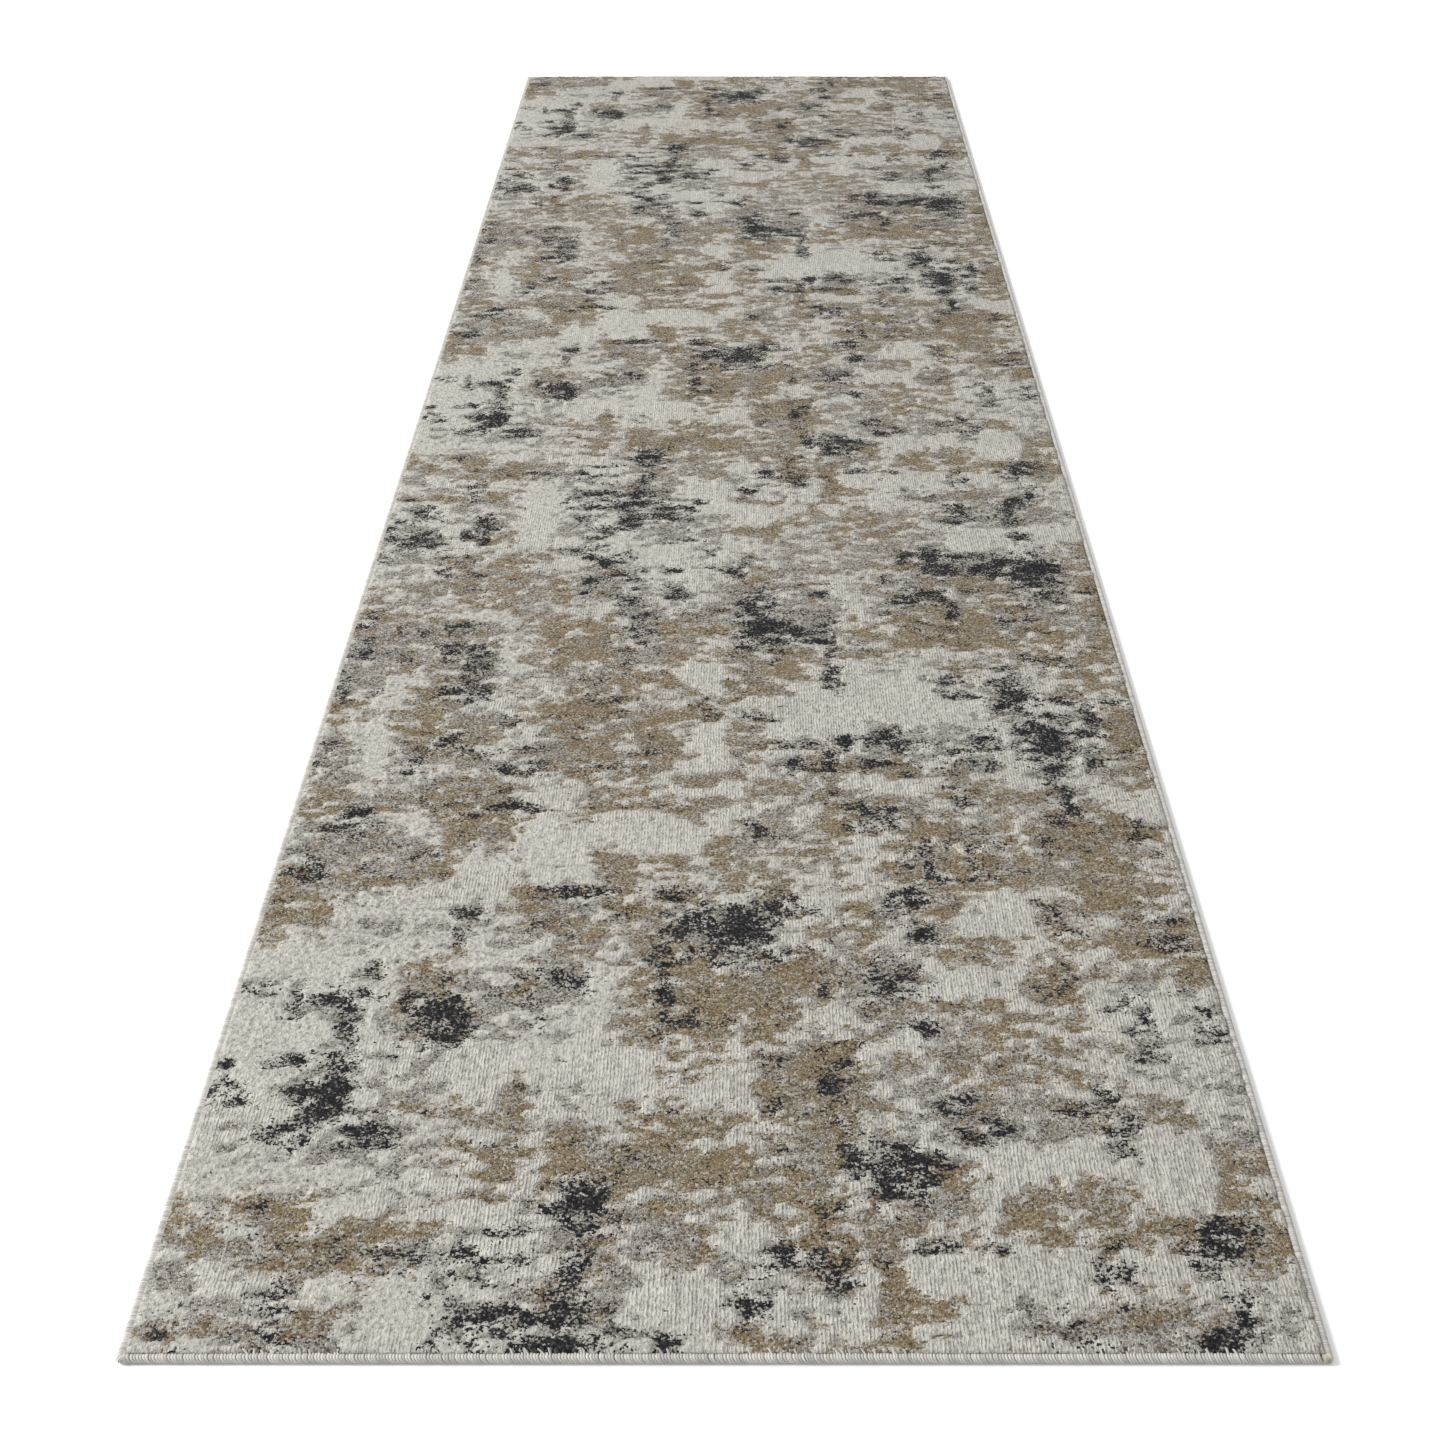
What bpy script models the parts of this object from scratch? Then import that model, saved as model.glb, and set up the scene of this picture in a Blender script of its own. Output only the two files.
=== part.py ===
# Woven runner rug lying flat: a cut-pile field on a ground weave with a latex back coat.
# Every edge is serged: yarn is whipped round a filler cord and the margin of the weave,
# and a short tack of the same yarn closes each corner.
# Metres, +Z up. The origin is on the floor under the middle of the rug; the length runs along Y.

import math

import bmesh
import bpy

# Overall sizes, over the serged edges
RUG_WIDTH = 0.800
RUG_LENGTH = 3.000

# Layers of the carpet body, from the floor up
COAT_THICKNESS = 0.0004
WEAVE_THICKNESS = 0.0016
PILE_HEIGHT = 0.0058

# Serged edge: a bead of yarn, round outside, whose lips lap over the margin of the weave
BEAD_HEIGHT = 0.0062
YARN_THICKNESS = 0.0012
SIDE_LAP = 0.0020
END_LAP = 0.0010

# Shape of the margins and corners
RAMP_RUN = 0.0030
RAMP_MARGIN = 0.0005
PILE_ROLL = 0.0022
PILE_CORNER = 0.0030
COAT_CORNER = 0.0040
TACK_ROUNDING = 0.0020

# Clearances between neighbouring pieces
LAYER_GAP = 0.0001
FIT_GAP = 0.0003

# Facets of the round shapes
ARC_STEPS = 12
CORD_SIDES = 20
ROLL_STEPS = 4
TACK_STEPS = 4
CREASE_ANGLE = math.radians(40)

# The filler cord lies at the centre of the bead's round outer end, and the weave stops beside it
BEAD_RADIUS = BEAD_HEIGHT / 2
BORE_RADIUS = BEAD_RADIUS - YARN_THICKNESS
CORD_RADIUS = BORE_RADIUS - FIT_GAP
WEAVE_EDGE = BEAD_RADIUS + CORD_RADIUS + FIT_GAP
SIDE_BAND = WEAVE_EDGE + SIDE_LAP
END_BAND = WEAVE_EDGE + END_LAP

# Heights of the layers in the middle of the rug
WEAVE_BOTTOM = COAT_THICKNESS + LAYER_GAP
WEAVE_TOP = WEAVE_BOTTOM + WEAVE_THICKNESS
PILE_BOTTOM = WEAVE_TOP + LAYER_GAP
PILE_TOP = PILE_BOTTOM + PILE_HEIGHT

# At the edges the weave rides up over the lower lip of the serging
MARGIN_BOTTOM = YARN_THICKNESS + FIT_GAP
MARGIN_LIFT = MARGIN_BOTTOM - WEAVE_BOTTOM
MARGIN_TOP = WEAVE_TOP + MARGIN_LIFT
PILE_MARGIN_BOTTOM = PILE_BOTTOM + MARGIN_LIFT

# The ramp runs from inside the wider band of serging, measured from the rug's outer edge
RAMP_START = max(SIDE_BAND, END_BAND) + FIT_GAP + RAMP_MARGIN
RAMP_END = RAMP_START + RAMP_RUN

# The weave's corners are cut off so that they stay out of the corner tacks
WEAVE_CORNER = SIDE_LAP + END_LAP + 2 * FIT_GAP


def clear_scene():
    for obj in list(bpy.data.objects):
        bpy.data.objects.remove(obj)


def make_collection(name):
    collection = bpy.data.collections.new(name)
    bpy.context.scene.collection.children.link(collection)
    return collection


def make_material(name, colour, roughness):
    material = bpy.data.materials.new(name)
    material.use_nodes = True
    shader = material.node_tree.nodes["Principled BSDF"]
    shader.inputs["Base Color"].default_value = (*colour, 1.0)
    shader.inputs["Roughness"].default_value = roughness
    shader.inputs["Metallic"].default_value = 0.0
    return material


def finish_object(obj, name, material, collection):
    obj.name = name
    obj.data.name = name
    obj.data.materials.append(material)
    for holder in list(obj.users_collection):
        holder.objects.unlink(obj)
    collection.objects.link(obj)
    return obj


def make_block(inset_x, inset_y, bottom, top, corner):
    """A slab this far inside the rug's outline, with its upright corner edges cut off."""
    bm = bmesh.new()
    bmesh.ops.create_cube(bm, size=1.0)
    size = (RUG_WIDTH - 2 * inset_x, RUG_LENGTH - 2 * inset_y, top - bottom)
    bmesh.ops.scale(bm, vec=size, verts=bm.verts)
    bmesh.ops.translate(bm, vec=(0.0, 0.0, (top + bottom) / 2), verts=bm.verts)
    upright = [edge for edge in bm.edges if edge.verts[0].co.z != edge.verts[1].co.z]
    bmesh.ops.bevel(bm, geom=upright, offset=corner, offset_type="OFFSET", segments=1, affect="EDGES")
    return bm


def flat_side(bm, facing):
    """The slab's top face (facing 1) or bottom face (facing -1)."""
    bm.normal_update()
    return max(bm.faces, key=lambda face: face.normal.z * facing * face.calc_area())


def sink_middle(bm, facing, margin):
    """Leave a margin of one face where it is, and sink the rest of that face down a ramp."""
    face = flat_side(bm, facing)
    bmesh.ops.inset_region(bm, faces=[face], thickness=margin, use_even_offset=True)
    bmesh.ops.inset_region(bm, faces=[face], thickness=RAMP_RUN, use_even_offset=True)
    bmesh.ops.translate(bm, vec=(0.0, 0.0, -MARGIN_LIFT), verts=face.verts)


def finish_block(bm, name, material, collection):
    mesh = bpy.data.meshes.new(name)
    bm.to_mesh(mesh)
    bm.free()
    obj = bpy.data.objects.new(name, mesh)
    return finish_object(obj, name, material, collection)


def make_back_coat(material, collection):
    """Latex coat under the flat middle of the weave."""
    bm = make_block(RAMP_END, RAMP_END, 0.0, COAT_THICKNESS, COAT_CORNER)
    return finish_block(bm, "back_coat", material, collection)


def make_ground_weave(material, collection):
    """The woven ground, whose raised margin lies between the lips of the serging and stops at the cord."""
    bm = make_block(WEAVE_EDGE, WEAVE_EDGE, MARGIN_BOTTOM, MARGIN_TOP, WEAVE_CORNER)
    sink_middle(bm, 1, RAMP_START - WEAVE_EDGE)
    sink_middle(bm, -1, RAMP_START - WEAVE_EDGE)
    return finish_block(bm, "ground_weave", material, collection)


def make_pile_field(material, collection):
    """The pile, standing on the weave between the serged edges, with its top edge rolled over."""
    side = SIDE_BAND + FIT_GAP
    end = END_BAND + FIT_GAP
    bm = make_block(side, end, PILE_MARGIN_BOTTOM, PILE_TOP, PILE_CORNER)
    sink_middle(bm, -1, RAMP_START - min(side, end))
    rim = list(flat_side(bm, 1).edges)
    bmesh.ops.bevel(
        bm,
        geom=rim,
        offset=PILE_ROLL,
        offset_type="OFFSET",
        segments=ROLL_STEPS,
        profile=0.5,
        affect="EDGES",
    )
    return finish_block(bm, "pile_field", material, collection)


def arc(radius, start, stop):
    """Points round the cord's centre, from one angle to another in degrees."""
    angles = [math.radians(start + (stop - start) * n / ARC_STEPS) for n in range(ARC_STEPS + 1)]
    return [
        (BEAD_RADIUS + radius * math.cos(angle), BEAD_RADIUS + radius * math.sin(angle))
        for angle in angles
    ]


def hairpin_profile(band):
    """Section of the serging: x inwards from the rug's outer edge, y up.

    Its upper lip leaves the bead along a tangent and comes down on the margin of the weave.
    """
    tip_x = band - BEAD_RADIUS
    tip_y = MARGIN_TOP + FIT_GAP - BEAD_RADIUS
    tangent = math.atan2(tip_y, tip_x) + math.acos(BORE_RADIUS / math.hypot(tip_x, tip_y))
    lip_top = (BEAD_RADIUS - tip_x * math.cos(tangent)) / math.sin(tangent)
    start = math.degrees(tangent)
    outside = arc(BEAD_RADIUS, start, 270)
    lower_lip = [(band, 0.0), (band, YARN_THICKNESS)]
    inside = arc(BORE_RADIUS, 270, start)
    upper_lip = [(band, BEAD_RADIUS + tip_y), (band, BEAD_RADIUS + lip_top)]
    return outside + lower_lip + inside + upper_lip


def make_serging(name, band, length, place, turn, material, collection):
    """A wrapped edge: the hairpin section drawn along one side of the rug."""
    profile = hairpin_profile(band)
    curve = bpy.data.curves.new(name, "CURVE")
    curve.dimensions = "2D"
    curve.fill_mode = "BOTH"
    curve.extrude = length / 2
    spline = curve.splines.new("POLY")
    spline.points.add(len(profile) - 1)
    for point, (x, y) in zip(spline.points, profile):
        point.co = (x, y, 0.0, 1.0)
    spline.use_cyclic_u = True
    obj = bpy.data.objects.new(name, curve)
    obj.location = place
    obj.rotation_euler = (math.pi / 2, 0.0, turn)
    return finish_object(obj, name, material, collection)


def make_cord(name, length, place, turn, material, collection):
    """Filler cord inside a serged edge."""
    bpy.ops.mesh.primitive_cylinder_add(
        vertices=CORD_SIDES,
        radius=CORD_RADIUS,
        depth=length,
        location=place,
        rotation=(math.pi / 2, 0.0, turn),
    )
    obj = bpy.context.object
    obj.data.shade_smooth()
    obj.data.set_sharp_from_angle(angle=CREASE_ANGLE)
    return finish_object(obj, name, material, collection)


def make_edges(yarn, cord, collection):
    """A cord and its serging along each side and each end, which stop short of the corner tacks."""
    side_length = RUG_LENGTH - 2 * (END_BAND + FIT_GAP)
    end_length = RUG_WIDTH - 2 * (SIDE_BAND + FIT_GAP)
    half_x = RUG_WIDTH / 2
    half_y = RUG_LENGTH / 2
    edges = {
        "left": (SIDE_BAND, side_length, (-half_x, 0.0, 0.0), 0.0),
        "right": (SIDE_BAND, side_length, (half_x, 0.0, 0.0), math.pi),
        "near": (END_BAND, end_length, (0.0, -half_y, 0.0), math.pi / 2),
        "far": (END_BAND, end_length, (0.0, half_y, 0.0), -math.pi / 2),
    }
    for side, (band, length, place, turn) in edges.items():
        make_serging(f"serging_{side}", band, length, place, turn, yarn, collection)
        inwards_x = math.cos(turn) * BEAD_RADIUS
        inwards_y = math.sin(turn) * BEAD_RADIUS
        centre = (place[0] + inwards_x, place[1] + inwards_y, BEAD_RADIUS)
        make_cord(f"edge_cord_{side}", length, centre, turn, cord, collection)


def make_corner_tacks(material, collection):
    """A rounded knot of serging yarn at each corner, where the end serging is sewn off."""
    for across, side in ((-1, "left"), (1, "right")):
        for along, end in ((-1, "near"), (1, "far")):
            bm = bmesh.new()
            bmesh.ops.create_cube(bm, size=1.0)
            bmesh.ops.scale(bm, vec=(SIDE_BAND, END_BAND, BEAD_HEIGHT), verts=bm.verts)
            obj = finish_block(bm, f"corner_tack_{end}_{side}", material, collection)
            obj.location = (
                across * (RUG_WIDTH - SIDE_BAND) / 2,
                along * (RUG_LENGTH - END_BAND) / 2,
                BEAD_HEIGHT / 2,
            )
            rounding = obj.modifiers.new("rounded edges", "BEVEL")
            rounding.width = TACK_ROUNDING
            rounding.segments = TACK_STEPS


def main():
    clear_scene()
    collection = make_collection("runner_rug")
    pile = make_material("pile yarn", (0.38, 0.35, 0.30), 0.95)
    weave = make_material("jute and cotton weave", (0.42, 0.34, 0.22), 0.9)
    coat = make_material("latex coat", (0.55, 0.50, 0.40), 0.6)
    yarn = make_material("serging yarn", (0.52, 0.50, 0.46), 0.85)
    cord = make_material("filler cord", (0.60, 0.56, 0.48), 0.9)
    make_back_coat(coat, collection)
    make_ground_weave(weave, collection)
    make_pile_field(pile, collection)
    make_edges(yarn, cord, collection)
    make_corner_tacks(yarn, collection)


main()
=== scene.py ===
import math

import bpy
import numpy as np
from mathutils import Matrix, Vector


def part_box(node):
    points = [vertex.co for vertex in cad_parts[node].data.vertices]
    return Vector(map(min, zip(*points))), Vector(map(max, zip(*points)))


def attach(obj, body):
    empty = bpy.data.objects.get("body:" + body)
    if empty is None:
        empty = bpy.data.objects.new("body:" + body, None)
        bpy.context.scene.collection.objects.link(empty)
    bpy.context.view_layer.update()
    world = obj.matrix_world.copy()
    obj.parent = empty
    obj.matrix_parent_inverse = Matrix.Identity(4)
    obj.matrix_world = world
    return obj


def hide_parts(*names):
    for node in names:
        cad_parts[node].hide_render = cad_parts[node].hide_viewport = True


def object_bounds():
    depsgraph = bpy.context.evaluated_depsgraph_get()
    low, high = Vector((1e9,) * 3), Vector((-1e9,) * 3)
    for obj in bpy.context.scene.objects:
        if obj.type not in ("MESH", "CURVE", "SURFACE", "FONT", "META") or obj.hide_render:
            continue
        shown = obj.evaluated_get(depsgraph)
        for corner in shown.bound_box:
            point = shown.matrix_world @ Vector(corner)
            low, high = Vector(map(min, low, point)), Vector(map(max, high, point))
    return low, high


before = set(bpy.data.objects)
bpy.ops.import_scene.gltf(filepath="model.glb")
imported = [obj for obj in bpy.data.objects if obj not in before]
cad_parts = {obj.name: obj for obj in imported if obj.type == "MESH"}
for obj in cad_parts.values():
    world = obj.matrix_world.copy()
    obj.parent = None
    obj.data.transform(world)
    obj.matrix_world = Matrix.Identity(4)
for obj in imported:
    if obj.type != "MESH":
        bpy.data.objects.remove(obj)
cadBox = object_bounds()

print("frame loaded")

# measures read from the frame, in metres
rugLow, rugHigh = cadBox
pileLow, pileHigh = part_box("pile_field")
coatLow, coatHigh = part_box("back_coat")
sideLow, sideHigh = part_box("serging_left")
endLow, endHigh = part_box("serging_near")
beadRadius = (sideHigh.z - sideLow.z) / 2

wavePeriod = math.pi / 10       # of a wave texture at a scale of one
centimetres = 100.0             # in a metre


# ---- camera, light and floor

view = {
    "place": (0.0128, -2.3690, 1.0762),
    "dip": 33.314,          # degrees below the horizon
    "lens": 50.0,
    "sensor": 36.0,
    "shiftX": -0.01503,
    "nearest": 0.01,
    "farthest": 60.0,
}


def makeCamera():
    camera = bpy.data.objects.new("camera", bpy.data.cameras.new("camera"))
    bpy.context.scene.collection.objects.link(camera)
    camera.location = view["place"]
    camera.rotation_euler = (math.radians(90 - view["dip"]), 0.0, 0.0)
    camera.data.lens = view["lens"]
    camera.data.sensor_width = view["sensor"]
    camera.data.shift_x = view["shiftX"]
    camera.data.clip_start = view["nearest"]
    camera.data.clip_end = view["farthest"]
    bpy.context.scene.camera = camera


studio = {
    "floorSize": 40.0,
    "floorDrop": 0.0002,    # below the rug
    "floorColour": (0.95, 0.95, 0.95),
    "floorRoughness": 0.9,
    "skyStrength": 0.75,
    "keyPlace": (-5.5, -0.4, 4.2),
    "keyAim": (0.0, 0.0, 0.0),
    "keySize": 3.5,
    "keyPower": 720.0,
}


def makeStudio():
    scene = bpy.context.scene
    scene.view_settings.view_transform = "Standard"
    scene.view_settings.look = "None"
    world = bpy.data.worlds.new("studio")
    scene.world = world
    world.use_nodes = True
    sky = world.node_tree.nodes["Background"]
    sky.inputs["Color"].default_value = (1.0, 1.0, 1.0, 1.0)
    sky.inputs["Strength"].default_value = studio["skyStrength"]
    key = bpy.data.objects.new("key light", bpy.data.lights.new("key light", "AREA"))
    scene.collection.objects.link(key)
    key.location = studio["keyPlace"]
    aim = Vector(studio["keyAim"]) - Vector(studio["keyPlace"])
    key.rotation_euler = aim.to_track_quat("-Z", "Y").to_euler()
    key.data.size = studio["keySize"]
    key.data.energy = studio["keyPower"]
    bpy.ops.object.select_all(action="DESELECT")
    bpy.ops.mesh.primitive_plane_add(
        size=studio["floorSize"],
        location=(0, 0, rugLow.z - studio["floorDrop"]),
    )
    floor = bpy.context.object
    floor.name = "studio_floor"
    paint = bpy.data.materials.new("floor paint")
    paint.use_nodes = True
    shader = paint.node_tree.nodes["Principled BSDF"]
    shader.inputs["Base Color"].default_value = (*studio["floorColour"], 1.0)
    shader.inputs["Roughness"].default_value = studio["floorRoughness"]
    floor.data.materials.append(paint)


makeCamera()
makeStudio()
print("camera and studio made")


# ---- small helpers for materials

def startMaterial(name):
    material = bpy.data.materials.new(name)
    material.use_nodes = True
    return material, material.node_tree, material.node_tree.nodes["Principled BSDF"]


def plug(tree, socket, value):
    # a socket is linked, and anything else is typed in
    if isinstance(value, bpy.types.NodeSocket):
        tree.links.new(value, socket)
    elif isinstance(value, tuple) and len(value) == 3 and socket.type == "RGBA":
        socket.default_value = (*value, 1.0)
    else:
        socket.default_value = value


def addNode(tree, kind, settings=None, **inputs):
    node = tree.nodes.new(kind)
    for key, value in (settings or {}).items():
        setattr(node, key, value)
    for key, value in inputs.items():
        plug(tree, node.inputs[key.replace("_", " ")], value)
    return node


def calc(tree, operation, first, second):
    node = tree.nodes.new("ShaderNodeMath")
    node.operation = operation
    plug(tree, node.inputs[0], first)
    plug(tree, node.inputs[1], second)
    return node.outputs[0]


def blendColours(tree, amount, first, second, how="MIX"):
    node = tree.nodes.new("ShaderNodeMix")
    node.data_type = "RGBA"
    node.blend_type = how
    plug(tree, node.inputs[0], amount)
    plug(tree, node.inputs[6], first)
    plug(tree, node.inputs[7], second)
    return node.outputs[2]


def ramp(tree, value, low, high, outLow=0.0, outHigh=1.0):
    node = addNode(tree, "ShaderNodeMapRange", {"interpolation_type": "SMOOTHSTEP"})
    plug(tree, node.inputs["Value"], value)
    plug(tree, node.inputs["From Min"], low)
    plug(tree, node.inputs["From Max"], high)
    plug(tree, node.inputs["To Min"], outLow)
    plug(tree, node.inputs["To Max"], outHigh)
    return node.outputs["Result"]


def stretched(tree, place, scale):
    node = addNode(tree, "ShaderNodeMapping", Vector=place)
    node.inputs["Scale"].default_value = scale
    return node.outputs["Vector"]


def noiseOf(tree, place, scale, detail=2.0, rough=0.5, output="Fac"):
    node = addNode(tree, "ShaderNodeTexNoise", {"noise_dimensions": "2D"}, Vector=place)
    node.inputs["Scale"].default_value = scale
    node.inputs["Detail"].default_value = detail
    node.inputs["Roughness"].default_value = rough
    return node.outputs[output]


def offset(tree, value, amount):
    # a pattern from 0 to 1 as a swing about nothing
    return calc(tree, "MULTIPLY", calc(tree, "SUBTRACT", value, 0.5), amount)


def pushed(tree, place, noise, reach):
    node = addNode(tree, "ShaderNodeVectorMath", {"operation": "MULTIPLY_ADD"})
    plug(tree, node.inputs[0], noise)
    node.inputs[1].default_value = (reach, reach, 0.0)
    plug(tree, node.inputs[2], place)
    return node.outputs[0]


def attributeOf(tree, name):
    values = addNode(tree, "ShaderNodeAttribute", {"attribute_name": name}).outputs["Vector"]
    return addNode(tree, "ShaderNodeSeparateXYZ", Vector=values).outputs


def addBump(tree, shader, height, strength, depth):
    bump = addNode(tree, "ShaderNodeBump", Height=height)
    bump.inputs["Strength"].default_value = strength
    bump.inputs["Distance"].default_value = depth
    plug(tree, shader.inputs["Normal"], bump.outputs["Normal"])


# ---- the woven design, in centimetres from the left side and from the near end
# each patch is (across, along, width, length, how solid it is)

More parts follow.
